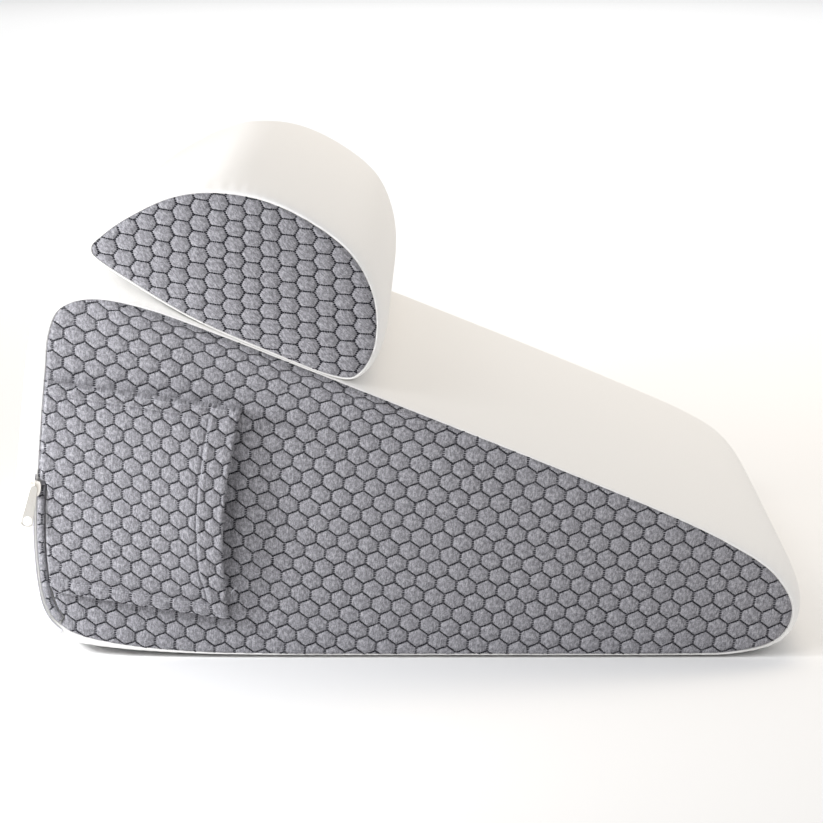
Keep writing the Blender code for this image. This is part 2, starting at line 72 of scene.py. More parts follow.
WEDGE_SEAM = [
    # x, z, stand: how far the band bulges out in mid-width, in millimetres
    (-273, 254, 20), (-263, 273.5, 15), (-238, 280.5, 9), (-200, 273.5, 6), (-150, 255.5, 5.5),
    (-20, 203.5, 5.5), (110, 151, 5.5), (204, 111, 6.5), (250, 88, 10), (280, 67, 12),
    (295, 40, 12), (285, 16, 10), (252, 4.8, 6), (200, 3, 4), (40, 3, 4), (-120, 3.4, 4),
    (-195, 7, 8), (-245, 15, 14), (-268, 25.5, 20), (-280, 43, 24), (-285, 75, 26),
    (-285.5, 115, 25), (-281, 175, 24), (-276.6, 222, 23),
]
BOLSTER_SEAM = [
    (-239, 318, 4), (-235, 325, 3), (-213, 341, 2.5), (-180, 356.5, 4.5), (-148, 361, 10),
    (-110, 355.5, 13), (-73, 338.5, 13), (-42, 313.5, 12), (-25.5, 281, 8), (-24.5, 246, 7),
    (-36.5, 223, 6), (-56, 220.5, 4), (-110, 241.5, 4), (-165, 266.5, 4), (-215, 297, 4),
    (-235, 311, 5),
]

# Honeycomb quilting: rows of cells, with their points up or, where turned, to the side. A
# lattice starts from a place, shifted by its phase, falls along X and leans with its height.
SIDE_QUILT = {
    "pitch": 0.01578, "row": 0.01125, "point": 0.00778, "turned": False,
    "place": (-0.080, 0.110), "phase": (0.0029, 0.0105),
    "fall": (-0.153, 0.066, -0.011), "lean": (0.107, 0.094),
    "slanted": (0.00145, 0.00255, 0.00066), "upright": (0.00139, 0.00220, 0.00074),
}
POCKET_QUILT = {
    "pitch": 0.01508, "row": 0.01120, "point": 0.00768, "turned": False,
    "place": (-0.215, 0.125), "phase": (0.0045, 0.0062),
    "fall": (-0.186, 0.160, 0.0), "lean": (0.035, -0.147),
    "slanted": (0.00145, 0.00245, 0.00064), "upright": (0.00139, 0.00210, 0.00072),
}
END_QUILT = {
    "pitch": 0.01183, "row": 0.01390, "point": 0.00872, "turned": True,
    "place": (-0.130, 0.290), "phase": (0.0023, 0.0124),
    "fall": (-0.131, 0.208, 0.0), "lean": (0.036, -0.313),
    "slanted": (0.00184, 0.00128, 0.00152), "upright": (0.00184, 0.00112, 0.00152),
}
GUARD_QUILT = {
    **SIDE_QUILT, "place": (0.0, 0.085), "phase": (0.0072, 0.0030),
    "fall": (0.0, 0.0, 0.0), "lean": (0.0, 0.0),
    "slanted": (0.00145, 0.00220, 0.00082), "upright": (0.00145, 0.00160, 0.00080),
}
END_TURN = math.radians(48)  # of the streaks in the bolster's heather
LEAN_REACH = 0.3
FALL_REACHES = (0.6, 0.27)
LATTICE_ROUNDS = 25  # of the search for a place's lattice coordinates
CELL_ROWS = 34
PRESS_FROM = (-0.245, -0.215)  # where the bolster's press on the wedge begins
PRESS_TO = (0.000, 0.045)  # and ends
PRESS_SQUEEZE = 0.45  # share of their height that the first cells lose
PRESS_REACH = 0.014
PRESS_ROUNDS = 12
PRESS_BULGE = 0.0026  # how far the pressed cells stand out
PRESS_BULGE_AT = 0.010  # below the top seam
PRESS_BULGE_REACH = 0.014
PUFF = 0.0017  # rise of a puff over its stitches
PUFF_POWER = 2.4  # how flat a puff's middle is
PUFF_STEEP = 0.75  # how steep its edge is
PUFF_VARIES = (0.85, 0.30)  # least share of the rise, and what chance adds
RUNG_RISE = 0.35  # part of its rise that is left on upright edges
RING_SHARES = ((1.0, 42), (0.93, 42), (0.80, 30), (0.58, 18), (0.30, 9))
EDGE_ROLL = 0.0040  # width over which a panel's edge rolls into its seam
EDGE_SINK = 0.0016  # how deep it goes there
PANEL_GAP = 0.0004  # between the panel's edge and the seam curve
PANEL_BACK = 0.0022  # depth of a panel's back behind its stitches
PANEL_WAVE = 0.0004  # soft waves over a panel
WAVE_SIZE = 0.09
NOISE_WAVES = 9
NOISE_SIZES = (0.7, 1.5)  # waves of soft noise, as shares of its size
PUCKER = 0.00045  # how deep the seams pucker the bands
PUCKER_PITCH = 0.0095
PUCKER_DRIFT = 2.5  # how far the puckers stray, in radians of their pitch
PUCKER_REACH = 0.006
PUCKER_END = 12  # reaches from the seam, past which a band is smooth
PUCKER_STAND = 0.006  # a band that stands out less than this puckers less
CLOTH_MARGIN = 0.0006  # from a cloth's edge to the first places inside it
BACK_PITCH = 0.008  # grid on the back of a cloth
BACK_RIM = 160  # about the number of points round it
WELD = 1e-7

# Stitches: dashes that lie along the cloth's courses. A quilt gives their
# spacing, length and thickness on its slanted and its upright edges.
DASH_RISE = 0.00066
DASH_LIE = 0.00014  # how far a dash's outline lies over the cloth
DASH_SHAPE = ((-1, 0), (-0.7, -1), (0.7, -1), (1, 0), (0.7, 1), (-0.7, 1))
STITCH_MARGIN = 0.0006
STITCH_JITTER = 0.00006
STITCH_VARIES = (0.88, 1.14)
THREAD_SIDES = 6
THREAD_END = 0.15  # how a thread's ends round off: start angle and power
THREAD_POWER = 0.35

# Pocket
POCKET_OUTLINE = [(-274, 219), (-279, 180), (-281.5, 135), (-281, 95), (-277, 62),
                  (-272, 54), (-138, 33), (-126, 198)]
POCKET_TOP = (POCKET_OUTLINE[0], POCKET_OUTLINE[7])
POCKET_FOOT = POCKET_OUTLINE[5:7]
POCKET_MOUTH = POCKET_OUTLINE[6:8]
POCKET_BACK = -0.276
POCKET_PITCH = 0.0012  # of the points round it
POCKET_SEED = 5
BACK_ZONE = -0.25  # edge points behind this keep clear of the zip guard
POCKET_GAPE = 0.0105
GAPE_POWERS = (1.6, 1.2)
POCKET_BOW = 0.0083
BOW_POWER = 4
HEM_HEIGHTS = (0.040, 0.055, 0.072, 0.104, 0.133, 0.184)
HEM_WIDTHS = (0.0135, 0.0160, 0.0215, 0.0240, 0.0243, 0.0225)
END_FOLD = 0.0098  # folds at top and foot
FOLD_SPANS = (-0.273, -0.130, 0.194, 0.038)  # first and last X, and first and last Z, of the folds' line
FOLD_PITCH = 0.0008
FOLD_PUFF = 0.35  # how much more the quilt puffs there
FOLD_RISE = 0.0013  # the second layer of cloth in hem and folds
FOLD_RIDGE = 0.0017  # how much more its inner edge stands up
RIDGE_REACH = 0.0045
FOLD_STEP = 0.0020
GROOVE = 0.0004  # depth that the stitch line inside the folds draws in
GROOVE_AT = -0.0013
GROOVE_HALF = 0.0009
HOLLOW = 0.0045  # how deep the panel sinks behind the pocket's mouth
HOLLOW_REACH = 0.0095
HOLLOW_SHIFT = 0.25  # its deepest line inside the mouth, in reaches
HOLLOW_POWER = 0.8
GROOVE_OFFSETS = (-2.4, -1.8, -1.3, -0.8, -0.4, 0.0, 0.4, 0.8, 1.3, 2.0, 3.0)  # in millimetres
CURL = 0.0032  # lift of the mouth's upper corner
CURL_AT = (-0.129, 0.195)
CURL_REACH = 0.010
POCKET_THICK = 0.0032
POCKET_SEAT = 0.0016  # from the panel's stitches to the pocket's back
POCKET_ROLL = 0.0013
POCKET_BACK_ROLL = 0.002
POCKET_RIMS = (0.0007, 0.0016)  # rows of points inside its edge
TURNED = 0.0080  # width of the thicker turned edge along top and foot
TURNED_STEP = 0.0018
TURNED_RISE = 0.0027
TURNED_SPAN = (-0.262, -0.140, 0.0022)
TURNED_ROWS = (1.15, 0.5, -0.15)  # rows of points over its step
TOPSTITCH = (0.0031, 0.0024, 0.00032)  # spacing, length and thread radius
EDGE_HIGHLIGHT_IN = 0.0024  # from the edge, along top and foot, where the pale thread also paints the highlight of the folded edges
EDGE_HIGHLIGHT_SPAN = (-0.270, -0.132, 0.0008)
TOPSTITCH_ENDS = (0.002, 0.004)
TOPSTITCH_VARIES = (0.85, 1.1)
TOPSTITCH_SEAT = 0.4  # rise of its ends over the cloth, in radii
TOPSTITCH_POINTS = 5
STRAY_THICK = 1.1  # in radii of the topstitch
STRAY = ((-0.1325, 0.0545), (-0.1310, 0.0570), (-0.1285, 0.0590), (-0.1262, 0.0612))
STRAY_OUT = 0.0012

# Zip in the back of the near side seam
BACK_ROW = 16  # seam table row from which its back runs up
TAPE_ENDS = (0.024, 0.146)  # heights on the seam
GUARD_ENDS = (0.028, 0.1402)
GUARD_WIDTH = 0.0064  # rolled fold of quilt that covers the teeth
GUARD_DEPTH = 0.0036
GUARD_OUT = 0.0008  # its outer edge, in from the seam
GUARD_SEAT = 0.0008
GUARD_SIDES = 28
GUARD_PITCH = 0.0007
GUARD_SEED = 7
GUARD_TIPS = (0.72, 0.35)  # width left at its foot and its upper end
GUARD_MIDDLE = 0.1
GUARD_TAPER = 3  # its ends narrow over its width divided by this
GUARD_SEWN = 0.40  # stitches reach this far to each side, in widths
GUARD_SEWN_IN = 0.001
GUARD_PUFF = 0.45  # share of the quilt's puff that the roll keeps
GUARD_CUT = 0.0077  # strip that it takes from the panel and the pocket
CUT_BLEND = 0.0020
TAPE_INNER = 0.0014  # the tape's edges, measured out from the seam
TAPE_OUTER = 0.0092
TAPE_THICK = 0.0008
TAPE_SEAT = 0.0006
TAPE_STEPS = 14
TAPE_PITCH = 0.0004
TAPE_RIB = (0.0016, 0.00012)  # spacing and height of the woven ribs
TAPE_FOLD = 0.0007  # soft folds, which fade out upwards
TAPE_FOLD_TOP = 0.075
TAPE_FOLD_FADE = 0.03
TAPE_FOLD_LEAST = 0.15
TAPE_FOLD_UNDER = 0.6  # share of the folds on its underside
TAPE_FOLD_WAVES = (2.5 * math.pi, 30)  # across its width, and for each metre up
TAPE_LIMIT = 0.98  # of the band's bulge that it may reach
SLIDER_THICK = 0.0040
SLIDER_SEAT = 0.0020  # the slider's back, out from the plane of the side seam
SLIDER_AT = (-0.2850, 0.1350)
SLIDER_SHAPE = ((-3.4, 6.2), (3.4, 6.2), (4.7, 4.4), (4.7, -0.6), (3.5, -4.6), (1.6, -6.2),
                (-1.6, -6.2), (-3.5, -4.6), (-4.7, -0.6), (-4.7, 4.4))
BRIDGE = ((-0.0046, 0.0), (-0.0040, 0.0016), (-0.0020, 0.0024), (0.0020, 0.0024),
          (0.0040, 0.0016), (0.0046, 0.0))
BRIDGE_RADIUS = 0.0008
PULL_LENGTH = 0.0325
PULL_WIDTHS = (0.0062, 0.0096)
PULL_THICK = 0.0014
PULL_FOOT = 0.45  # how round its foot is
PULL_HOLE = 0.0032
ROUND_STEPS = 15
HOLE_STEPS = 28
PULL_LEAN = math.radians(12)  # to the back
PULL_TILT = math.radians(9)  # towards the cloth
PULL_FACE = 0.0079  # its back, out from the plane of the side seam
METAL_BEVEL = 0.0005

# Stage
WORLD_POWER = 0.62
FLOOR_HALF = 14.0
LIGHTS = (
    # name, place, aim, size, power, colour, spread
    ("key", (-0.84, -0.55, 0.40), (-0.10, -0.24, 0.14), (0.14, 0.14), 6.9, (0.97, 0.98, 1.0), math.pi),
    ("fill", (-1.3, -2.4, 2.1), (0.0, -0.2, 0.13), (0.9, 0.9), 14, (0.99, 0.99, 1.0), math.pi),
    ("backdrop", (0.0, 6.2, 3.0), (0.0, 6.2, 0.0), (5.0, 10.0), 90, (1.0, 1.0, 1.0), math.radians(100)),
    ("top", (0.5, 0.9, 1.9), (0.05, 0.1, 0.1), (1.2, 1.2), 10.3, (1.0, 0.815, 0.585), math.pi),
)


def closed_curve(table, steps):
    """Catmull-Rom curve through the rows of a closed table, in metres."""
    rows = np.array(table, float) * MM
    before, after = np.roll(rows, 1, 0), np.roll(rows, -1, 0)
    beyond = np.roll(rows, -2, 0)
    share = (np.arange(steps) / steps)[None, :, None]
    start, end = rows[:, None], after[:, None]
    slope_in, slope_out = (after - before)[:, None] / 2, (beyond - rows)[:, None] / 2
    curve = (start * (2 * share ** 3 - 3 * share ** 2 + 1)
             + slope_in * (share ** 3 - 2 * share ** 2 + share)
             + end * (3 * share ** 2 - 2 * share ** 3) + slope_out * (share ** 3 - share ** 2))
    return curve.reshape(-1, rows.shape[1])


class Outline:
    """A side seam as a closed curve, with how far its band stands out."""

    def __init__(self, table, steps):
        curve = closed_curve(table, steps)
        self.points, self.stands = curve[:, :2], curve[:, 2]
        ahead = np.roll(self.points, -1, 0) - np.roll(self.points, 1, 0)
        ahead /= np.linalg.norm(ahead, axis=1)[:, None]
        self.normals = np.stack((-ahead[:, 1], ahead[:, 0]), 1)
        self.centre = closed_curve(table, COARSE_STEPS)[:, :2].mean(0)
        lengths = np.linalg.norm(np.roll(self.points, -1, 0) - self.points, axis=1)
        self.run = np.concatenate(([0.0], np.cumsum(lengths)))
        rays = self.points - self.centre
        angles = np.arctan2(rays[:, 1], rays[:, 0])
        order = np.argsort(angles)
        self.angles, self.reaches = angles[order], np.linalg.norm(rays, axis=1)[order]

    def share(self, places):
        rays = places - self.centre
        reach = np.interp(np.arctan2(rays[:, 1], rays[:, 0]), self.angles, self.reaches,
                          period=2 * math.pi)
        return np.linalg.norm(rays, axis=1) / reach

    def crown(self, places):
        return CROWN * (1 - np.minimum(self.share(places), 1.0) ** 2)

    def inset(self, depth):
        return self.points - self.normals * np.reshape(depth, (-1, 1))


def distance_to(places, line):
    """Distance of each place to a closed line of close points."""
    tree = kdtree.KDTree(len(line))
    for index, point in enumerate(line):
        tree.insert((point[0], point[1], 0), index)
    tree.balance()
    return np.array([tree.find((place[0], place[1], 0))[2] for place in places])


def edge_roll(places, line, width):
    """Nearness of places to a line, 0 on it to 1 past a width, and the rise of a round edge."""
    near = np.minimum(distance_to(places, line) / width, 1.0)
    return near, np.sqrt(1 - (1 - near) ** 2)


def bulge(share):
    return np.sqrt(np.maximum(0.0, 1 - np.abs(share) ** ROLL_POWER))


def ease(share):
    """Soft step from 0 to 1."""
    return share * share * (3 - 2 * share)


def smooth_noise(places, size, seed):
    """Soft random field over the plane, mostly between -1 and 1, made of turned waves."""
    rng = np.random.default_rng(seed)
    total = np.zeros(len(places))
    for _ in range(NOISE_WAVES):
        turn, phase = rng.uniform(0, 2 * math.pi, 2)
        wave = 2 * math.pi / (size * rng.uniform(*NOISE_SIZES))
        total += np.sin(wave * (places[:, 0] * math.cos(turn) + places[:, 1] * math.sin(turn)) + phase)
    return total / (NOISE_WAVES / 2)


def points_of(x, y, z):
    """Points with their coordinates in the last axis."""
    return np.stack(np.broadcast_arrays(x, y, z), -1)


def placed(x, y, z):
    """Points moved to the cushions' place."""
    return points_of(x, y, z) + PLACE


def new_object(name, data):
    item = bpy.data.objects.new(name, data)
    bpy.context.scene.collection.objects.link(item)
    return item


def new_mesh(name, verts, faces, material, corners=None, smooth=True):
    """Object of a mesh, with its cloth coordinates in a UV map."""
    mesh = bpy.data.meshes.new(name)
    mesh.from_pydata([tuple(vert) for vert in verts], [], [tuple(face) for face in faces])
    if corners is not None:
        layer = mesh.uv_layers.new(name="cloth")
        layer.data.foreach_set("uv", np.asarray(corners, np.float32).ravel())
    mesh.polygons.foreach_set("use_smooth", [smooth] * len(mesh.polygons))
    mesh.materials.append(material)
    mesh.update()
    return new_object(name, mesh)


def rows_of(rows, count):
    """Faces of a closed skin over rows of points, each row a ring."""
    faces = []
    for row in range(rows - 1):
        for step in range(count):
            after = (step + 1) % count
            faces.append((row * count + step, row * count + after,
                          (row + 1) * count + after, (row + 1) * count + step))
    last = (rows - 1) * count
    return faces + [tuple(range(count))[::-1], tuple(range(last, last + count))]


# Materials


class Nodes:
    """Short forms for building a node tree."""

    def __init__(self, name):
        self.material = bpy.data.materials.new(name)
        self.material.use_nodes = True
        self.tree = self.material.node_tree
        self.shader = self.tree.nodes["Principled BSDF"]

    def add(self, kind, inputs=None, **settings):
        node = self.tree.nodes.new(kind)
        for key, value in settings.items():
            setattr(node, key, value)
        for key, value in (inputs or {}).items():
            if isinstance(value, bpy.types.NodeSocket):
                self.tree.links.new(value, node.inputs[key])
            else:
                node.inputs[key].default_value = value
        return node

    def math(self, operation, first, second=0.0, third=0.0):
        node = self.add("ShaderNodeMath", {0: first, 1: second, 2: third}, operation=operation)
        return node.outputs[0]

    def coordinates(self, size, turn):
        """Cloth coordinates in units of the given sizes, in metres."""
        source = self.add("ShaderNodeAttribute", attribute_name="cloth")
        inputs = {"Vector": source.outputs["Vector"], "Rotation": (0.0, 0.0, turn), "Scale": (*size, 1.0)}
        return self.add("ShaderNodeMapping", inputs, vector_type="TEXTURE").outputs[0]

    def noise(self, size, detail=2.0, rough=0.5, turn=0.0):
        inputs = {"Vector": self.coordinates(size, turn), "Scale": 1.0, "Detail": detail, "Roughness": rough}
        return self.add("ShaderNodeTexNoise", inputs).outputs["Fac"]

    def ramp(self, factor, stops):
        node = self.add("ShaderNodeValToRGB", {"Fac": factor})
        elements = node.color_ramp.elements
        while len(elements) < len(stops):
            elements.new(0.5)
        for element, (place, colour) in zip(elements, stops):
            element.position = place
            element.color = (*colour, 1.0)
        return node.outputs["Color"]

    def bump(self, height, distance, strength):
        inputs = {"Height": height, "Distance": distance, "Strength": strength}
        return self.add("ShaderNodeBump", inputs).outputs["Normal"]

    def set(self, **values):
        for key, value in values.items():
            socket = self.shader.inputs[key.replace("_", " ")]
            if isinstance(value, bpy.types.NodeSocket):
                self.tree.links.new(value, socket)
            else:
                socket.default_value = value


def heather_material(name, turn):
    """Grey melange knit with fine ribs, for quilted cloth."""
    nodes = Nodes(name)
    streaks = nodes.noise((0.0010, 0.0034), rough=0.6, turn=turn)
    patches = nodes.noise((0.0022, 0.0030), detail=1.0, turn=turn)
    grains = nodes.noise((0.0009, 0.0011), rough=0.6)
    mix = nodes.math("MULTIPLY_ADD", grains, 0.34, nodes.math("MULTIPLY", streaks, 0.34))
    mix = nodes.math("MULTIPLY_ADD", patches, 0.32, mix)
    colour = nodes.ramp(mix, [(0.37, (0.132, 0.130, 0.144)), (0.50, (0.262, 0.258, 0.279)),
                              (0.63, (0.450, 0.446, 0.474))])
    nodes.set(Base_Color=colour, Roughness=0.92, Normal=nodes.bump(mix, 0.0007, 0.7))
    nodes.set(Sheen_Weight=0.12, Sheen_Roughness=0.5, Specular_IOR_Level=0.2)
    return nodes.material


def knit_material(name):
    """White fine knit with a faint woven figure."""
    nodes = Nodes(name)
    fine = nodes.noise((0.0008, 0.0006))
    figure = nodes.noise((0.0047, 0.0047), detail=1.0)
    height = nodes.math("MULTIPLY_ADD", figure, 0.5, fine)
    colour = nodes.ramp(fine, [(0.3, (0.86, 0.852, 0.838)), (0.7, (0.93, 0.922, 0.908))])
    nodes.set(Base_Color=colour, Roughness=0.85, Normal=nodes.bump(height, 0.0004, 0.35))
    nodes.set(Sheen_Weight=0.2, Sheen_Roughness=0.4, Specular_IOR_Level=0.25)
    return nodes.material


def thread_material(name, colour):
    """Spun thread."""
    nodes = Nodes(name)
    nodes.set(Base_Color=(*colour, 1.0), Roughness=0.75, Specular_IOR_Level=0.3)
    return nodes.material


def tape_material(name):
    """Pale woven tape."""
    nodes = Nodes(name)
    weave = nodes.noise((0.0006, 0.0003))
    colour = nodes.ramp(weave, [(0.3, (0.76, 0.75, 0.80)), (0.7, (0.86, 0.85, 0.89))])
    nodes.set(Base_Color=colour, Roughness=0.8, Normal=nodes.bump(weave, 0.0003, 0.5))
    nodes.set(Sheen_Weight=0.1, Specular_IOR_Level=0.3)
    return nodes.material


def metal_material(name):
    """Pale warm nickel with faint scratches."""
    nodes = Nodes(name)
    source = nodes.add("ShaderNodeTexCoord").outputs["Object"]
    scaled = nodes.add("ShaderNodeMapping", {"Vector": source, "Scale": (2500.0, 2500.0, 300.0)})
    inputs = {"Vector": scaled.outputs[0], "Scale": 1.0, "Detail": 3.0}
    scratch = nodes.add("ShaderNodeTexNoise", inputs).outputs["Fac"]
    rough = nodes.math("MULTIPLY_ADD", scratch, 0.16, 0.26)
    colour = nodes.ramp(scratch, [(0.3, (0.88, 0.84, 0.77)), (0.7, (0.96, 0.94, 0.90))])
    nodes.set(Base_Color=colour, Metallic=1.0, Roughness=rough, Normal=nodes.bump(scratch, 0.00005, 0.3))
    return nodes.material


# Bands


def wedge_top(share):
    """Places along X and heights of the wedge's sloping top at one section."""
    ring = WEDGE.points + WEDGE.normals * WEDGE.stands[:, None] * bulge(share)
    high = int(np.argmax(ring[:, 1]))
    nose = int(np.argmax(ring[:, 0]))
    return ring[high:nose, 0], ring[high:nose, 1]


def seam_pucker(outline):
    """How deep the stitches draw a band in along its seams."""
    run = outline.run[:-1]
    places = np.stack((run, run * 0), 1)
    drift = PUCKER_DRIFT * smooth_noise(places, 0.05, 11)
    waves = 0.5 + 0.5 * np.sin(2 * math.pi * run / PUCKER_PITCH + drift)
    uneven = 0.6 + 0.4 * smooth_noise(places, 0.03, 12)
    return PUCKER * waves * uneven * np.minimum(outline.stands / PUCKER_STAND, 1.0)


def band_end(outline, side, dish):
    """Rings of a cushion's end, from the lip at its seam to the middle under the panel."""
    inner = outline.inset(RIM)
    layers = [(outline.inset(SEAM_LIP[0]), SEAM_LIP[1]), (inner, RECESS)]
    for scale in END_SHARES:
        deep = RECESS + (dish if scale < DISH_FROM else 0.0)
        layers.append((outline.centre + (inner - outline.centre) * scale, deep))
    return [points_of(ring[:, 0], side * (SEAM_WIDTH / 2 - deep + outline.crown(ring)), ring[:, 1])
            for ring, deep in layers]


def band(name, table, on_wedge, material, dish=0.0):
    """Filled cushion with a band that bulges between its side seams."""
    outline = Outline(table, BAND_STEPS)
    half = 1 - (1 - np.arange(HALF_STATIONS + 1) / HALF_STATIONS) ** STATION_POWER
    pucker = seam_pucker(outline)
    rings = []
    for share in np.concatenate((-half[:0:-1], half)):
        inner = (1 - abs(share)) * SEAM_WIDTH / 2 / PUCKER_REACH
        sunk = pucker * inner * math.exp(1 - inner) if inner < PUCKER_END else pucker * 0
        ring = outline.points + outline.normals * (outline.stands * bulge(share) - sunk)[:, None]
        floor = np.interp(ring[:, 0], *wedge_top(share)) + HEAD_SEAT if on_wedge else 0.0
        rings.append(points_of(ring[:, 0], share * SEAM_WIDTH / 2, np.maximum(ring[:, 1], floor)))
    rings = band_end(outline, -1, dish)[::-1] + rings + band_end(outline, 1, 0.0)
    count = len(outline.points)
    levels = [ring[:, 1].mean() for ring in rings]
    corners = []
    for level, above in zip(levels, levels[1:]):
        for start, end in zip(outline.run, outline.run[1:]):
            corners += [(start, level), (end, level), (end, above), (start, above)]
    corners += [(0.0, 0.0)] * (2 * count)
    return new_mesh(name, np.concatenate(rings) + PLACE, rows_of(len(rings), count), material, corners)


# Quilted cloth


def under_headrest(x):
    """1 where the headrest presses on the side panel's top edge, fading to 0 past it."""
    begun = np.clip((x - PRESS_FROM[0]) / (PRESS_FROM[1] - PRESS_FROM[0]), 0, 1)
    left = np.clip((PRESS_TO[1] - x) / (PRESS_TO[1] - PRESS_TO[0]), 0, 1)
    return begun * left


def top_depth(places):
    """Depth of places on the side panel below the top seam's line."""
    return np.interp(places[..., 0], TOP_SEAM[:, 0], TOP_SEAM[:, 1]) - places[..., 1]


def pressed(places):
    """Places on the side panel, with its first rows squeezed below the top seam."""
    near = np.exp(-np.maximum(top_depth(places), -0.5 * PRESS_REACH) / PRESS_REACH)
    shift = under_headrest(places[..., 0]) * PRESS_SQUEEZE * PRESS_REACH * near
    return np.stack((places[..., 0], places[..., 1] - shift), -1)


def quilt_place(quilt, along, across):
    """Place on the panel of points of the even lattice."""
    level, height = (across, along) if quilt["turned"] else (along, across)
    fall, lean = quilt["fall"], quilt["lean"]
    x = level + (lean[0] + lean[1] * level / LEAN_REACH) * height
    z = (height + fall[0] * level + fall[1] * level ** 2 / FALL_REACHES[0]
         + fall[2] * level ** 3 / FALL_REACHES[1])
    places = np.stack((quilt["place"][0] + x, quilt["place"][1] + z), -1)
    return pressed(places) if quilt is SIDE_QUILT else places


def lattice_of(quilt, places):
    """Even lattice coordinates of places on the panel."""
    if quilt is SIDE_QUILT:
        start = places
        for _ in range(PRESS_ROUNDS):
            start = start + (places - pressed(start))
        places = start
    target = places - np.array(quilt["place"])
    level, height = target[:, 0].copy(), target[:, 1].copy()
    fall, lean = quilt["fall"], quilt["lean"]
    for _ in range(LATTICE_ROUNDS):
        level = target[:, 0] - (lean[0] + lean[1] * level / LEAN_REACH) * height
        height = (target[:, 1] - fall[0] * level - fall[1] * level ** 2 / FALL_REACHES[0]
                  - fall[2] * level ** 3 / FALL_REACHES[1])
    return np.stack((height, level) if quilt["turned"] else (level, height), 1)


def cell_corners(quilt):
    pitch, row, point = quilt["pitch"], quilt["row"], quilt["point"]
    return np.array([(0, point), (pitch / 2, row - point), (pitch / 2, point - row),
                     (0, -point), (-pitch / 2, point - row), (-pitch / 2, row - point)])


def cell_middles(quilt, low, high):
    """Lattice coordinates of the cells whose places lie between two corners."""
    down, side = np.meshgrid(np.arange(-CELL_ROWS, CELL_ROWS + 1),
                             np.arange(-CELL_ROWS, CELL_ROWS + 1), indexing="ij")
    along = quilt["phase"][0] + (side + 0.5 * (down % 2)) * quilt["pitch"]
    across = quilt["phase"][1] + down * quilt["row"]
    middles = np.stack((along.ravel(), across.ravel()), 1)
    places = quilt_place(quilt, middles[:, 0], middles[:, 1])
    margin = 1.5 * quilt["pitch"]
    inside = np.all((places > low - margin) & (places < high + margin), axis=1)
    return middles[inside]


def cell_gauge(quilt, lattice):
    """How near places are to a cell's upright and slanted edges, up to 1 on them, and the cell."""
    pitch, row, point = quilt["pitch"], quilt["row"], quilt["point"]
    slope = (2 * point - row) / (pitch / 2)
    best = np.full(len(lattice), np.inf)
    upright, slanted = best.copy(), best.copy()
    cells = np.zeros((len(lattice), 2))
    guess = np.round((lattice[:, 1] - quilt["phase"][1]) / row)
    for step in (-1, 0, 1):
        down = guess + step
        shift = quilt["phase"][0] + 0.5 * (down % 2) * pitch
        side = np.round((lattice[:, 0] - shift) / pitch)
        u = np.abs(lattice[:, 0] - shift - side * pitch)
        v = np.abs(lattice[:, 1] - quilt["phase"][1] - down * row)
        gauge = np.maximum(u / (pitch / 2), (v + u * slope) / point)
        nearer = gauge < best
        best = np.where(nearer, gauge, best)
        upright = np.where(nearer, u / (pitch / 2), upright)
        slanted = np.where(nearer, (v + u * slope) / point, slanted)
        cells[nearer] = np.stack((down, side), 1)[nearer]
    return upright, slanted, cells


def cell_random(cells, seed):
    """Steady random number from 0 to 1 for each cell."""
    value = np.sin(cells[:, 0] * 12.9898 + cells[:, 1] * 78.233 + seed * 37.719) * 43758.5453
    return value - np.floor(value)


def puff(quilt, lattice, seed):
    upright, slanted, cells = cell_gauge(quilt, lattice)
    over = np.maximum(0.0, 1 - upright ** PUFF_POWER) ** PUFF_STEEP
    rise = np.maximum(0.0, 1 - slanted ** PUFF_POWER) ** PUFF_STEEP
    rise = rise * (RUNG_RISE + (1 - RUNG_RISE) * over)
    return PUFF * rise * (PUFF_VARIES[0] + PUFF_VARIES[1] * cell_random(cells, seed))


def quilt_points(quilt, low, high):
    """Places on rings round the middle of every cell."""
    corners = cell_corners(quilt)
    middles = cell_middles(quilt, low, high)
    layers = [middles]
    for share, count in RING_SHARES:
        if share == 1.0:
            ring = [corners[side] + (corners[(side + 1) % 6] - corners[side]) * step * 6 / count
                    for side in (5, 0, 1) for step in range(count // 6)]
        else:
            ring = []
            for step in range(count):
                position = step * 6 / count
                side = int(position)
                ring.append(corners[side] + (corners[(side + 1) % 6] - corners[side]) * (position - side))
        ring = np.array(ring) * share
        layers.append((middles[:, None] + ring[None]).reshape(-1, 2))
    lattice = np.concatenate(layers)
    return quilt_place(quilt, lattice[:, 0], lattice[:, 1])


def inside_line(places, line):
    """Which places lie inside a closed line."""
    inside = np.zeros(len(places), bool)
    x, z = places[:, 0], places[:, 1]
    for (x0, z0), (x1, z1) in zip(line, np.roll(line, -1, 0)):
        if z0 == z1:
            continue
        crosses = (z0 > z) != (z1 > z)
        inside ^= crosses & (x < x0 + (z - z0) * (x1 - x0) / (z1 - z0))
    return inside


def triangulate(line, places):
    """Flat triangles inside a closed line, over its points and the places."""
    points = [Vector(point) for point in line] + [Vector(place) for place in places]
    edges = [(index, (index + 1) % len(line)) for index in range(len(line))]
    verts, _, faces, origins, _, _ = delaunay_2d_cdt(points, edges, [], 1, WELD)
    places = np.array([tuple(vert) for vert in verts])
    rim = np.zeros(len(points), int)
    for index, sources in enumerate(origins):
        rim[list(sources)] = index
    return places, [tuple(face) for face in faces], rim[:len(line)]


def even_grid(low, high, pitch):
    xs, zs = np.arange(low[0], high[0], pitch), np.arange(low[1], high[1], pitch)
    grid = np.stack(np.meshgrid(xs, zs), -1).reshape(-1, 2)
    grid[:, 0] += 0.25 * pitch * (np.round((grid[:, 1] - low[1]) / pitch) % 2)
    return grid


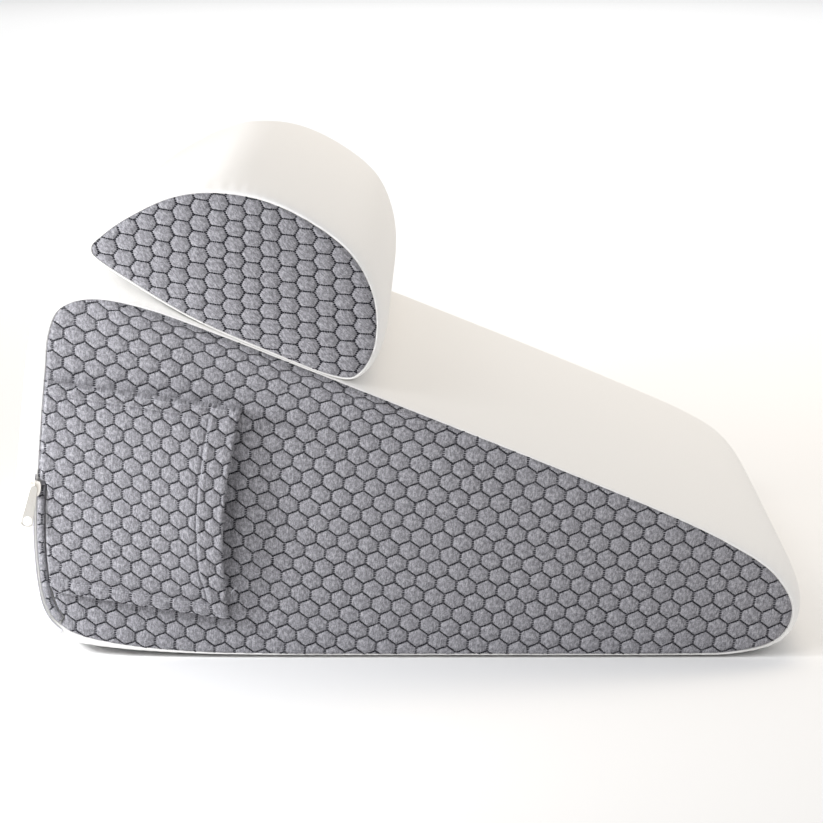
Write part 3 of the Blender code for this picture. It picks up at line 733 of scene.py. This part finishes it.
def cloth_body(name, line, quilt, front, back, side, material, extra=None):
    """Closed sheet of quilted cloth: front and back give the points over flat places."""
    low, high = line.min(0), line.max(0)
    places = quilt_points(quilt, low, high)
    if extra is not None:
        places = np.concatenate((places, extra))
    places = places[inside_line(places, line)]
    places = places[distance_to(places, line) > CLOTH_MARGIN]
    flat, faces, rim = triangulate(line, places)
    stride = max(1, len(line) // BACK_RIM)
    sparse = line[::stride]
    inner = even_grid(low, high, BACK_PITCH)
    inner = inner[inside_line(inner, line)]
    inner = inner[distance_to(inner, line) > BACK_PITCH / 3]
    rear, rear_faces, rear_rim = triangulate(sparse, inner)
    base = len(flat)
    if side > 0:
        faces = [face[::-1] for face in faces]
    faces += [tuple(base + index for index in (face[::-1] if side < 0 else face)) for face in rear_faces]
    for index in range(len(sparse)):
        first = index * stride
        last = (index + 1) * stride if index + 1 < len(sparse) else len(line)
        loop = [rim[position % len(line)] for position in range(first, last + 1)]
        loop += [base + rear_rim[(index + 1) % len(sparse)], base + rear_rim[index]]
        faces.append(tuple(loop if side > 0 else loop[::-1]))
    lattice = lattice_of(quilt, np.concatenate((flat, rear)))
    corners = np.concatenate([lattice[list(face)] for face in faces])
    return new_mesh(name, np.concatenate((front(flat), back(rear))), faces, material, corners)


def back_stretch(heights):
    """Points, outward normals and stand-outs of the seam at heights on its back."""
    first = BACK_ROW * EDGE_STEPS
    points, normals, stands = WEDGE.points[first:], WEDGE.normals[first:], WEDGE.stands[first:]
    columns = (points[:, 0], normals[:, 0], normals[:, 1], stands)
    x, level, rise, stand = [np.interp(heights, points[:, 1], column) for column in columns]
    normals = np.stack((level, rise), 1)
    return np.stack((x, heights), 1), normals / np.linalg.norm(normals, axis=1)[:, None], stand


def guard_window(heights):
    """1 beside the zip guard, fading to 0 past its ends."""
    over = np.clip((heights - GUARD_ENDS[0] + CUT_BLEND) / CUT_BLEND, 0, 1)
    under = np.clip((GUARD_ENDS[1] + CUT_BLEND - heights) / CUT_BLEND, 0, 1)
    return ease(over) * ease(under)


def mouth_hollow(places):
    """1 just inside the pocket's mouth, fading to 0 round it."""
    _, up = pocket_shares(places)
    bow = POCKET_BOW * np.sin(math.pi * up)
    past = places[:, 0] - line_across(POCKET_MOUTH, places[:, 1]) + bow - HOLLOW_SHIFT * HOLLOW_REACH
    return np.exp(-(past / HOLLOW_REACH) ** 2) * np.sin(math.pi * up) ** HOLLOW_POWER


def panel_relief(outline, quilt, line, seed, sink):
    """Function for the outward depth of a panel's face over the seam's plane."""
    def relief(places):
        near, roll = edge_roll(places, line, EDGE_ROLL)
        waves = PANEL_WAVE * smooth_noise(places, WAVE_SIZE, seed)
        if quilt is SIDE_QUILT:
            past = (top_depth(places) - PRESS_BULGE_AT) / PRESS_BULGE_REACH
            waves = waves + PRESS_BULGE * under_headrest(places[:, 0]) * np.exp(-past ** 2)
        puffs = puff(quilt, lattice_of(quilt, places), seed)
        return (outline.crown(places) - sink * mouth_hollow(places) + puffs * roll
                + EDGE_SINK * (roll - 1) + waves * near)
    return relief


def panel(name, table, quilt, side, seed, material, thread):
    """Quilted panel between the side seam's stitches, with its stitches."""
    outline = Outline(table, EDGE_STEPS)
    depth = np.full(len(outline.points), PANEL_GAP)
    with_pocket = quilt is SIDE_QUILT and side < 0
    if with_pocket:
        back = np.arange(len(depth)) >= BACK_ROW * EDGE_STEPS
        depth += np.where(back, (GUARD_CUT - PANEL_GAP) * guard_window(outline.points[:, 1]), 0.0)
    line = outline.inset(depth)
    sink = HOLLOW if with_pocket else 0.0
    relief = panel_relief(outline, quilt, line, seed, sink)

    def front(places):
        return placed(places[:, 0], side * (SEAM_WIDTH / 2 + relief(places)), places[:, 1])

    def back(places):
        deep = PANEL_BACK + sink * mouth_hollow(places)
        y = side * (SEAM_WIDTH / 2 - deep + outline.crown(places))
        return placed(places[:, 0], y, places[:, 1])

    item = cloth_body(name, line, quilt, front, back, side, material)
    beads = stitches(name + "_stitches", quilt, line, front, side, thread, seed)
    return item, beads


def stitches(name, quilt, line, front, side, thread, seed):
    """Small thread dashes along the edges of the honeycomb."""
    rng = np.random.default_rng(seed)
    corners = cell_corners(quilt)
    middles = cell_middles(quilt, line.min(0), line.max(0))
    starts, sizes = [], []
    for first, last, kind in ((5, 0, "slanted"), (0, 1, "slanted"), (1, 2, "upright")):
        pitch, length, thickness = quilt[kind]
        start, end = corners[first], corners[last]
        count = max(1, round(np.linalg.norm(end - start) / pitch))
        for step in range(count):
            starts.append(middles + start + (end - start) * (step + 0.5) / count)
            sizes.append(np.tile((length / 2, thickness / 2), (len(middles), 1)))
    lattice, sizes = np.concatenate(starts), np.concatenate(sizes)
    lattice = lattice + rng.normal(0, STITCH_JITTER, lattice.shape)
    sizes = sizes * rng.uniform(*STITCH_VARIES, sizes.shape)
    places = quilt_place(quilt, lattice[:, 0], lattice[:, 1])
    inside = inside_line(places, line)
    inside[inside] = distance_to(places[inside], line) > STITCH_MARGIN
    lattice, sizes = lattice[inside], sizes[inside]
    out = np.array((0.0, side, 0.0))
    points = []
    for corner in DASH_SHAPE:
        point = lattice + sizes * np.array(corner)
        points.append(front(quilt_place(quilt, point[:, 0], point[:, 1])) + out * DASH_LIE)
    points.append(front(places[inside]) + out * DASH_RISE)
    verts = np.stack(points, 1).reshape(-1, 3)
    top = len(DASH_SHAPE)
    pattern = [(step, (step + 1) % top, top) for step in range(top)]
    pattern += [(0, step + 1, step) for step in range(1, top - 1)]
    pattern = np.array(pattern)
    if quilt["turned"] != (side > 0):
        pattern = pattern[:, ::-1]
    faces = (np.arange(len(lattice))[:, None, None] * (top + 1) + pattern[None]).reshape(-1, 3)
    return new_mesh(name, verts, faces.tolist(), thread)


def tube(path, radius):
    """Points and faces of a thread along a path, with rounded ends."""
    path = np.asarray(path)
    ahead = np.gradient(path, axis=0)
    ahead /= np.linalg.norm(ahead, axis=1)[:, None]
    across = np.cross(ahead, (0.0, 1.0, 0.0))
    across /= np.linalg.norm(across, axis=1)[:, None]
    over = np.cross(across, ahead)
    turns = np.arange(THREAD_SIDES) * 2 * math.pi / THREAD_SIDES
    thick = radius * np.sin(np.linspace(THREAD_END, math.pi - THREAD_END, len(path))) ** THREAD_POWER
    rings = path[:, None] + thick[:, None, None] * (
        np.cos(turns)[None, :, None] * across[:, None] + np.sin(turns)[None, :, None] * over[:, None])
    return rings.reshape(-1, 3), rows_of(len(path), THREAD_SIDES)


def threads(name, paths, radii, material):
    """One piece of many short threads."""
    verts, faces, count = [], [], 0
    for path, radius in zip(paths, radii):
        points, sides = tube(path, radius)
        verts.append(points)
        faces += [tuple(index + count for index in face) for face in sides]
        count += len(points)
    return new_mesh(name, np.concatenate(verts), faces, material)


# Pocket


def line_height(line, x):
    """Height of a line's points at X."""
    (x0, z0), (x1, z1) = line
    return (z0 + (z1 - z0) * (x / MM - x0) / (x1 - x0)) * MM


def line_across(line, z):
    """X of a line's points at a height."""
    (x0, z0), (x1, z1) = line
    return (x0 + (x1 - x0) * (z / MM - z0) / (z1 - z0)) * MM


def pocket_shares(places):
    """How far places lie from the pocket's back to its mouth, and from its foot to its top."""
    x, z = places[:, 0], places[:, 1]
    across = (x - POCKET_BACK) / (line_across(POCKET_MOUTH, z) - POCKET_BACK)
    foot, top = line_height(POCKET_FOOT, x), line_height(POCKET_TOP, x)
    return np.clip(across, 0, 1), np.clip((z - foot) / (top - foot), 0, 1)


def along_polygon(points, pitch):
    """Closed line through corner points with steps of about the given pitch."""
    line = []
    for start, end in zip(points, np.roll(points, -1, 0)):
        count = max(1, round(np.linalg.norm(end - start) / pitch))
        line += [start + (end - start) * step / count for step in range(count)]
    return np.array(line)


def end_lines(x, depth):
    """Lines of places at a depth in from the pocket's top and its foot."""
    return [np.stack((x, line_height(POCKET_TOP, x) - depth), 1),
            np.stack((x, line_height(POCKET_FOOT, x) + depth), 1)]


def end_depth(places):
    """Depth of places in from the pocket's top or foot, whichever is nearer."""
    down = line_height(POCKET_TOP, places[:, 0]) - places[:, 1]
    up = places[:, 1] - line_height(POCKET_FOOT, places[:, 0])
    return np.minimum(down, up)


def fold_edge(places):
    """Distance into the pocket's hem and folds from their inner stitch line."""
    x, z = places[:, 0], places[:, 1]
    hem = np.interp(z, HEM_HEIGHTS, HEM_WIDTHS) - (line_across(POCKET_MOUTH, z) - x)
    return np.maximum(hem, END_FOLD - end_depth(places))


def turned_edge(places):
    """1 on the turned edges along the pocket's top and foot, easing to 0 inside."""
    return ease(np.clip((TURNED - end_depth(places)) / TURNED_STEP, 0, 1))


def fold_line():
    """The stitch line inside the pocket's folds and its hem, from top to foot."""
    back, mouth, high, low = FOLD_SPANS
    x = np.arange(back, mouth, FOLD_PITCH)
    z = np.arange(high, low, -FOLD_PITCH)
    top, foot = end_lines(x, END_FOLD)
    hem = np.stack((line_across(POCKET_MOUTH, z) - np.interp(z, HEM_HEIGHTS, HEM_WIDTHS), z), 1)
    line = np.concatenate((top, hem, foot[::-1]))
    return line[fold_edge(line) < 1e-6]


def fold_points(seam, line):
    """Extra places beside the stitch line, inside the edge and over the turned edge's step."""
    ahead = np.gradient(seam, axis=0)
    ahead /= np.linalg.norm(ahead, axis=1)[:, None]
    sideways = np.stack((-ahead[:, 1], ahead[:, 0]), 1)
    rows = [seam + sideways * offset * MM for offset in GROOVE_OFFSETS]
    after = np.roll(line, -1, 0)
    ways = (after - line) / np.linalg.norm(after - line, axis=1)[:, None]
    inward = np.stack((ways[:, 1], -ways[:, 0]), 1)
    rims = (line + after)[:, None] / 2 + inward[:, None] * np.array(POCKET_RIMS)[None, :, None]
    rows.append(rims.reshape(-1, 2))
    for step in TURNED_ROWS:
        rows += end_lines(np.arange(*TURNED_SPAN), TURNED - step * TURNED_STEP)
    return np.concatenate(rows)


def pocket_surface(places, depth):
    """Points at a depth over the pocket's seat, which gapes, bows and curls at its mouth."""
    across, up = pocket_shares(places)
    lift = POCKET_GAPE * across ** GAPE_POWERS[0] * np.sin(math.pi * up) ** GAPE_POWERS[1]
    corner = np.linalg.norm(places - np.array(CURL_AT), axis=1) / CURL_REACH
    lift = lift + CURL * np.exp(-corner ** 2)
    bow = POCKET_BOW * across ** BOW_POWER * np.sin(math.pi * up)
    y = -(SEAM_WIDTH / 2 + POCKET_SEAT + WEDGE.crown(places) + lift + depth)
    return placed(places[:, 0] - bow, y, places[:, 1])


def pocket_face(places, line):
    """Points on the pocket's front, with its folds, puffs and stitch groove."""
    _, roll = edge_roll(places, line, POCKET_ROLL)
    edge = fold_edge(places)
    share = np.clip(0.5 + edge / FOLD_STEP / 2, 0, 1)
    groove = np.exp(-((edge - GROOVE_AT) / GROOVE_HALF) ** 2)
    rise = FOLD_RISE + FOLD_RIDGE * np.exp(-np.maximum(edge, 0.0) / RIDGE_REACH)
    puffs = puff(POCKET_QUILT, lattice_of(POCKET_QUILT, places), POCKET_SEED)
    depth = (POCKET_THICK * (0.5 + 0.5 * roll) + rise * ease(share) * roll
             + TURNED_RISE * turned_edge(places) * roll
             + puffs * roll * (1 - 0.5 * groove) * (1 + FOLD_PUFF * share) - GROOVE * groove * roll)
    return pocket_surface(places, depth)


def topstitch_and_highlight_run(seam, front, material):
    """Pale thread dashes along the folds, the top and the foot, with one stray thread. Those along the top
    and the foot are partly thread and partly painted highlight on the folded edges.
    """
    spacing, length, radius = TOPSTITCH
    arch = TOPSTITCH_SEAT + np.sin(np.linspace(0, math.pi, TOPSTITCH_POINTS))
    rng = np.random.default_rng(9)
    paths = []
    # Along the top and the foot the pale dashes are partly thread and partly painted highlight of the folded
    # edges.
    for way in [seam] + end_lines(np.arange(*EDGE_HIGHLIGHT_SPAN), EDGE_HIGHLIGHT_IN):
        runs = np.concatenate(([0.0], np.cumsum(np.linalg.norm(np.diff(way, axis=0), axis=1))))
        for start in np.arange(TOPSTITCH_ENDS[0], runs[-1] - TOPSTITCH_ENDS[1], spacing):
            stops = start + np.linspace(0, length * rng.uniform(*TOPSTITCH_VARIES), TOPSTITCH_POINTS)
            flat = np.stack([np.interp(stops, runs, way[:, axis]) for axis in (0, 1)], 1)
            path = front(flat)
            path[:, 1] -= radius * arch
            paths.append(path)
    stray = front(np.array(STRAY))
    stray[:, 1] = stray[0, 1] - STRAY_OUT * np.linspace(0.3, 1, len(STRAY))
    radii = [radius] * len(paths) + [radius * STRAY_THICK]
    return threads("pocket_topstitch_and_highlight", paths + [stray], radii, material)


def pocket(material, thread, pale_stitch_and_highlight):
    """Patch of quilt with folded edges, which gapes at its mouth."""
    line = along_polygon(np.array(POCKET_OUTLINE) * MM, POCKET_PITCH)
    beside = back_stretch(line[:, 1])[0][:, 0] + (GUARD_CUT + PANEL_GAP) * guard_window(line[:, 1])
    line[:, 0] = np.where(line[:, 0] < BACK_ZONE, np.maximum(line[:, 0], beside), line[:, 0])

    def front(places):
        return pocket_face(places, line)

    def back(places):
        _, roll = edge_roll(places, line, POCKET_BACK_ROLL)
        return pocket_surface(places, POCKET_THICK * 0.5 * (1 - roll))

    seam = fold_line()
    item = cloth_body("pocket", line, POCKET_QUILT, front, back, -1, material, fold_points(seam, line))
    beads = stitches("pocket_stitches", POCKET_QUILT, line, front, -1, thread, POCKET_SEED)
    return item, beads, topstitch_and_highlight_run(seam, front, pale_stitch_and_highlight)


# Zip


def guard_face(places):
    """Points on the guard's round front, from their distance across and their height."""
    points, normals, _ = back_stretch(places[:, 1])
    flat = points + normals * (places[:, 0] - GUARD_OUT - GUARD_WIDTH / 2)[:, None]
    base = SEAM_WIDTH / 2 - RECESS + GUARD_SEAT + GUARD_DEPTH / 2 + WEDGE.crown(flat)
    round_face = np.sqrt(np.maximum(0.0, 1 - (2 * places[:, 0] / GUARD_WIDTH) ** 2))
    relief = GUARD_PUFF * puff(GUARD_QUILT, lattice_of(GUARD_QUILT, places), GUARD_SEED)
    return placed(flat[:, 0], -(base + round_face * (GUARD_DEPTH / 2 + relief)), flat[:, 1])


def strip_corners(faces, widths, heights):
    """Cloth coordinates for the faces of a strip, from the widths and heights of its rings."""
    flat = np.stack(np.broadcast_arrays(widths[None], heights[:, None]), -1).reshape(-1, 2)
    return np.concatenate([flat[list(face)] for face in faces])


def zip_guard(material, thread):
    """Rolled fold of quilt that covers the zip's teeth, with its stitches."""
    heights = np.arange(*GUARD_ENDS, GUARD_PITCH)
    turns = np.arange(GUARD_SIDES) * 2 * math.pi / GUARD_SIDES
    across = np.cos(turns) * GUARD_WIDTH / 2
    under = np.sin(turns) < 0
    rings = []
    for index, height in enumerate(heights):
        end = min(index, len(heights) - 1 - index) * GUARD_PITCH / GUARD_WIDTH * GUARD_TAPER
        least = GUARD_TIPS[0] if height < GUARD_MIDDLE else GUARD_TIPS[1]
        narrow = least + (1 - least) * min(1.0, end)
        ring = guard_face(np.stack((across * narrow, np.full(GUARD_SIDES, height)), 1))
        middle = ring[[0, GUARD_SIDES // 2], 1].mean()
        ring[under, 1] = middle + GUARD_DEPTH / 2 * np.abs(np.sin(turns[under]))
        rings.append(ring)
    faces = rows_of(len(rings), GUARD_SIDES)
    corners = strip_corners(faces, turns * GUARD_WIDTH / 2, heights)
    item = new_mesh("zip_guard_roll", np.concatenate(rings), faces, material, corners)
    half = GUARD_SEWN * GUARD_WIDTH
    low, high = GUARD_ENDS[0] + GUARD_SEWN_IN, GUARD_ENDS[1] - GUARD_SEWN_IN
    box = along_polygon(np.array([(-half, low), (-half, high), (half, high), (half, low)]), 0.002)
    beads = stitches("zip_guard_stitches", GUARD_QUILT, box, guard_face, -1, thread, GUARD_SEED)
    return item, beads


def zip_tape(material):
    """Woven tape on the band's rolled edge, with soft folds at its foot."""
    heights = np.arange(*TAPE_ENDS, TAPE_PITCH)
    points, normals, stands = back_stretch(heights)
    steps = np.linspace(TAPE_INNER, TAPE_OUTER, TAPE_STEPS)
    share = (steps - TAPE_INNER) / (TAPE_OUTER - TAPE_INNER)
    low = np.clip((TAPE_FOLD_TOP - heights) / TAPE_FOLD_FADE, TAPE_FOLD_LEAST, 1.0)[:, None]
    across, up = TAPE_FOLD_WAVES
    folds = TAPE_FOLD * low * np.sin(across * share[None] + up * heights[:, None]) ** 2
    spacing, rib = TAPE_RIB
    ribs = rib * np.sin(2 * math.pi * heights / spacing)[:, None]
    reach = np.minimum(steps[None] / stands[:, None], TAPE_LIMIT)
    depth = (1 - reach ** 2) ** (1 / ROLL_POWER) * SEAM_WIDTH / 2
    flat = points[:, None] + normals[:, None] * steps[None, :, None]
    upper = placed(flat[..., 0], -(depth + TAPE_SEAT + TAPE_THICK + folds + ribs), flat[..., 1])
    lower = placed(flat[..., 0], -(depth + TAPE_SEAT + folds * TAPE_FOLD_UNDER), flat[..., 1])
    rings = np.concatenate((upper, lower[:, ::-1]), 1)
    faces = rows_of(len(heights), 2 * TAPE_STEPS)
    corners = strip_corners(faces, np.concatenate((steps, steps[::-1])), heights)
    return new_mesh("zip_tape_weave", rings.reshape(-1, 3), faces, material, corners)


def metal_plate(name, loops, thickness, material):
    """Flat plate with rounded edges, from closed loops in its own plane."""
    curve = bpy.data.curves.new(name, "CURVE")
    curve.dimensions, curve.fill_mode = "2D", "BOTH"
    curve.extrude = thickness / 2 - METAL_BEVEL
    curve.bevel_depth, curve.bevel_resolution = METAL_BEVEL, 3
    curve.offset = -METAL_BEVEL
    for loop in loops:
        spline = curve.splines.new("POLY")
        spline.points.add(len(loop) - 1)
        for target, (x, z) in zip(spline.points, loop):
            target.co = (x, z, 0, 1)
        spline.use_cyclic_u = True
    curve.materials.append(material)
    return new_object(name, curve)


def cut_corners(points, rounds, closed):
    """Line with its corners cut again and again."""
    for _ in range(rounds):
        start, end = (points, np.roll(points, -1, 0)) if closed else (points[:-1], points[1:])
        inner = np.stack((start * 0.75 + end * 0.25, start * 0.25 + end * 0.75), 1).reshape(-1, 2)
        points = inner if closed else np.concatenate((points[:1], inner, points[-1:]))
    return points


def pull_loops():
    """Outline of the pull, round at its top and its wider foot, and of its hole."""
    top, foot = PULL_WIDTHS[0] / 2, PULL_WIDTHS[1] / 2
    turns = np.linspace(0, math.pi, ROUND_STEPS)
    upper = [(top * math.cos(turn), top * math.sin(turn) - top) for turn in turns]
    lower = [(-foot * math.cos(turn / 2), -PULL_LENGTH + foot * PULL_FOOT * (1 - math.sin(turn / 2)))
             for turn in turns]
    lower += [(-x, z) for x, z in lower[-2::-1]]
    turns = np.arange(HOLE_STEPS) * 2 * math.pi / HOLE_STEPS
    hole = [(PULL_HOLE * math.cos(turn), PULL_HOLE * math.sin(turn) + foot - PULL_LENGTH) for turn in turns]
    return upper + lower, hole


def zip_metal(material):
    """Slider with its bridge, and the pull that hangs from it."""
    x, z = SLIDER_AT
    x += PLACE[0]
    plane = PLACE[1] - SEAM_WIDTH / 2
    outline = cut_corners(np.array(SLIDER_SHAPE) * MM, 2, closed=True)
    slider = metal_plate("zip_slider_body", [outline], SLIDER_THICK, material)
    slider.location = (x, plane - SLIDER_SEAT - SLIDER_THICK / 2, z)
    slider.rotation_euler = (math.radians(90), 0, 0)
    face = plane - SLIDER_SEAT - SLIDER_THICK
    path = [(x, face - out, z + up) for up, out in cut_corners(np.array(BRIDGE), 3, closed=False)]
    bridge = threads("zip_bridge", [path], [BRIDGE_RADIUS], material)
    pull = metal_plate("zip_pull_plate", pull_loops(), PULL_THICK, material)
    pull.location = (x, plane - PULL_FACE - PULL_THICK / 2, z + PULL_WIDTHS[0] / 2)
    pull.rotation_euler = (math.radians(90) - PULL_TILT, PULL_LEAN, 0)
    return slider, bridge, pull


# Stage


def camera():
    pitch, yaw, roll = CAMERA_PITCH, CAMERA_YAW, CAMERA_ROLL
    ahead = Vector((math.sin(yaw) * math.cos(pitch), math.cos(yaw) * math.cos(pitch), -math.sin(pitch)))
    right = Vector((math.cos(yaw), -math.sin(yaw), 0.0))
    up = right.cross(ahead)
    right, up = (right * math.cos(roll) + up * math.sin(roll),
                 up * math.cos(roll) - right * math.sin(roll))
    data = bpy.data.cameras.new("camera")
    data.lens = CAMERA_LENS
    data.sensor_width = SENSOR
    data.clip_end = 50
    item = new_object("camera", data)
    item.matrix_world = Matrix.Translation(CAMERA_PLACE) @ Matrix((right, up, -ahead)).transposed().to_4x4()
    bpy.context.scene.camera = item


def area_light(name, place, aim, size, power, colour, spread):
    data = bpy.data.lights.new(name, "AREA")
    data.shape = "RECTANGLE"
    data.size, data.size_y = size
    data.energy = power
    data.color = colour
    data.spread = spread
    item = new_object(name, data)
    item.location = place
    item.rotation_euler = (Vector(aim) - Vector(place)).to_track_quat("-Z", "Y").to_euler()


def studio():
    """Soft lights and a plain pale floor."""
    scene = bpy.context.scene
    scene.view_settings.view_transform = "Standard"
    scene.world = bpy.data.worlds.new("studio")
    scene.world.use_nodes = True
    colour, power = scene.world.node_tree.nodes["Background"].inputs[:2]
    colour.default_value = (1.0, 1.0, 1.0, 1.0)
    power.default_value = WORLD_POWER
    for light in LIGHTS:
        area_light(*light)
    nodes = Nodes("floor_paint")
    nodes.set(Base_Color=(0.94, 0.94, 0.94, 1.0), Roughness=0.9, Specular_IOR_Level=0.1)
    verts = [(x * FLOOR_HALF, y * FLOOR_HALF, 0) for x, y in ((-1, -1), (1, -1), (1, 1), (-1, 1))]
    new_mesh("floor", verts, [(0, 1, 2, 3)], nodes.material, smooth=False)


WEDGE = Outline(WEDGE_SEAM, EDGE_STEPS)
TOP_SEAM = WEDGE.points[2 * EDGE_STEPS:8 * EDGE_STEPS]
camera()
studio()
knit = knit_material("white_knit_cloth")
heather = heather_material("heather_cloth", 0.0)
heather_end = heather_material("heather_end_cloth", END_TURN)
thread = thread_material("dark_thread", (0.016, 0.016, 0.023))
# Pale thread; along the pocket's top and foot it also paints the highlight of the folded edges.
pale_stitch_and_highlight = thread_material("pale_thread_and_highlight", (0.40, 0.40, 0.43))
woven = tape_material("woven_tape")
nickel = metal_material("warm_nickel")

wedge = band("wedge_band", WEDGE_SEAM, False, knit, dish=HOLLOW + DISH_GAP)
headrest = band("headrest_band", BOLSTER_SEAM, True, knit)
standing = [(wedge, "wedge_cushion", "white_knit"), (headrest, "headrest_cushion", "white_knit")]
extras = []

PANELS = (
    # piece, node, seam, quilt, cloth, band, flat size, area
    ("side_quilt", "side_panel", WEDGE_SEAM, SIDE_QUILT, heather, "wedge_band", (0.585, 0.285), 0.098),
    ("end_quilt", "headrest_panel", BOLSTER_SEAM, END_QUILT, heather_end, "headrest_band",
     (0.220, 0.145), 0.0205),
)
seed = 0  # of each panel's own puffs and stitches
for name, node, table, quilt, cloth, under, flat, area in PANELS:
    for side, end in ((-1, "_near"), (1, "_far")):
        seed += 1
        piece, beads = panel(name + end, table, quilt, side, seed, cloth, thread)
        standing.append((piece, node + end, "grey_quilt"))
        extras.append((beads, "grey_quilt"))

patch, beads, run = pocket(heather, thread, pale_stitch_and_highlight)
guard, guard_beads = zip_guard(heather, thread)
tape = zip_tape(woven)
slider, bridge, pull = zip_metal(nickel)
standing += [(patch, "side_pocket", "grey_quilt"), (guard, "zip_guard", "grey_quilt"),
             (tape, "zip_tape", "zip_tape"), (slider, "zip_slider", "zip_metal"),
             (pull, "zip_pull", "zip_metal")]
extras += [(beads, "grey_quilt"), (run, "grey_quilt"), (guard_beads, "grey_quilt"), (bridge, "zip_metal")]
for piece, slot in extras:
    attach(piece, "root")
for piece, node, slot in standing:
    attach(piece, "root")
    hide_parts(node)
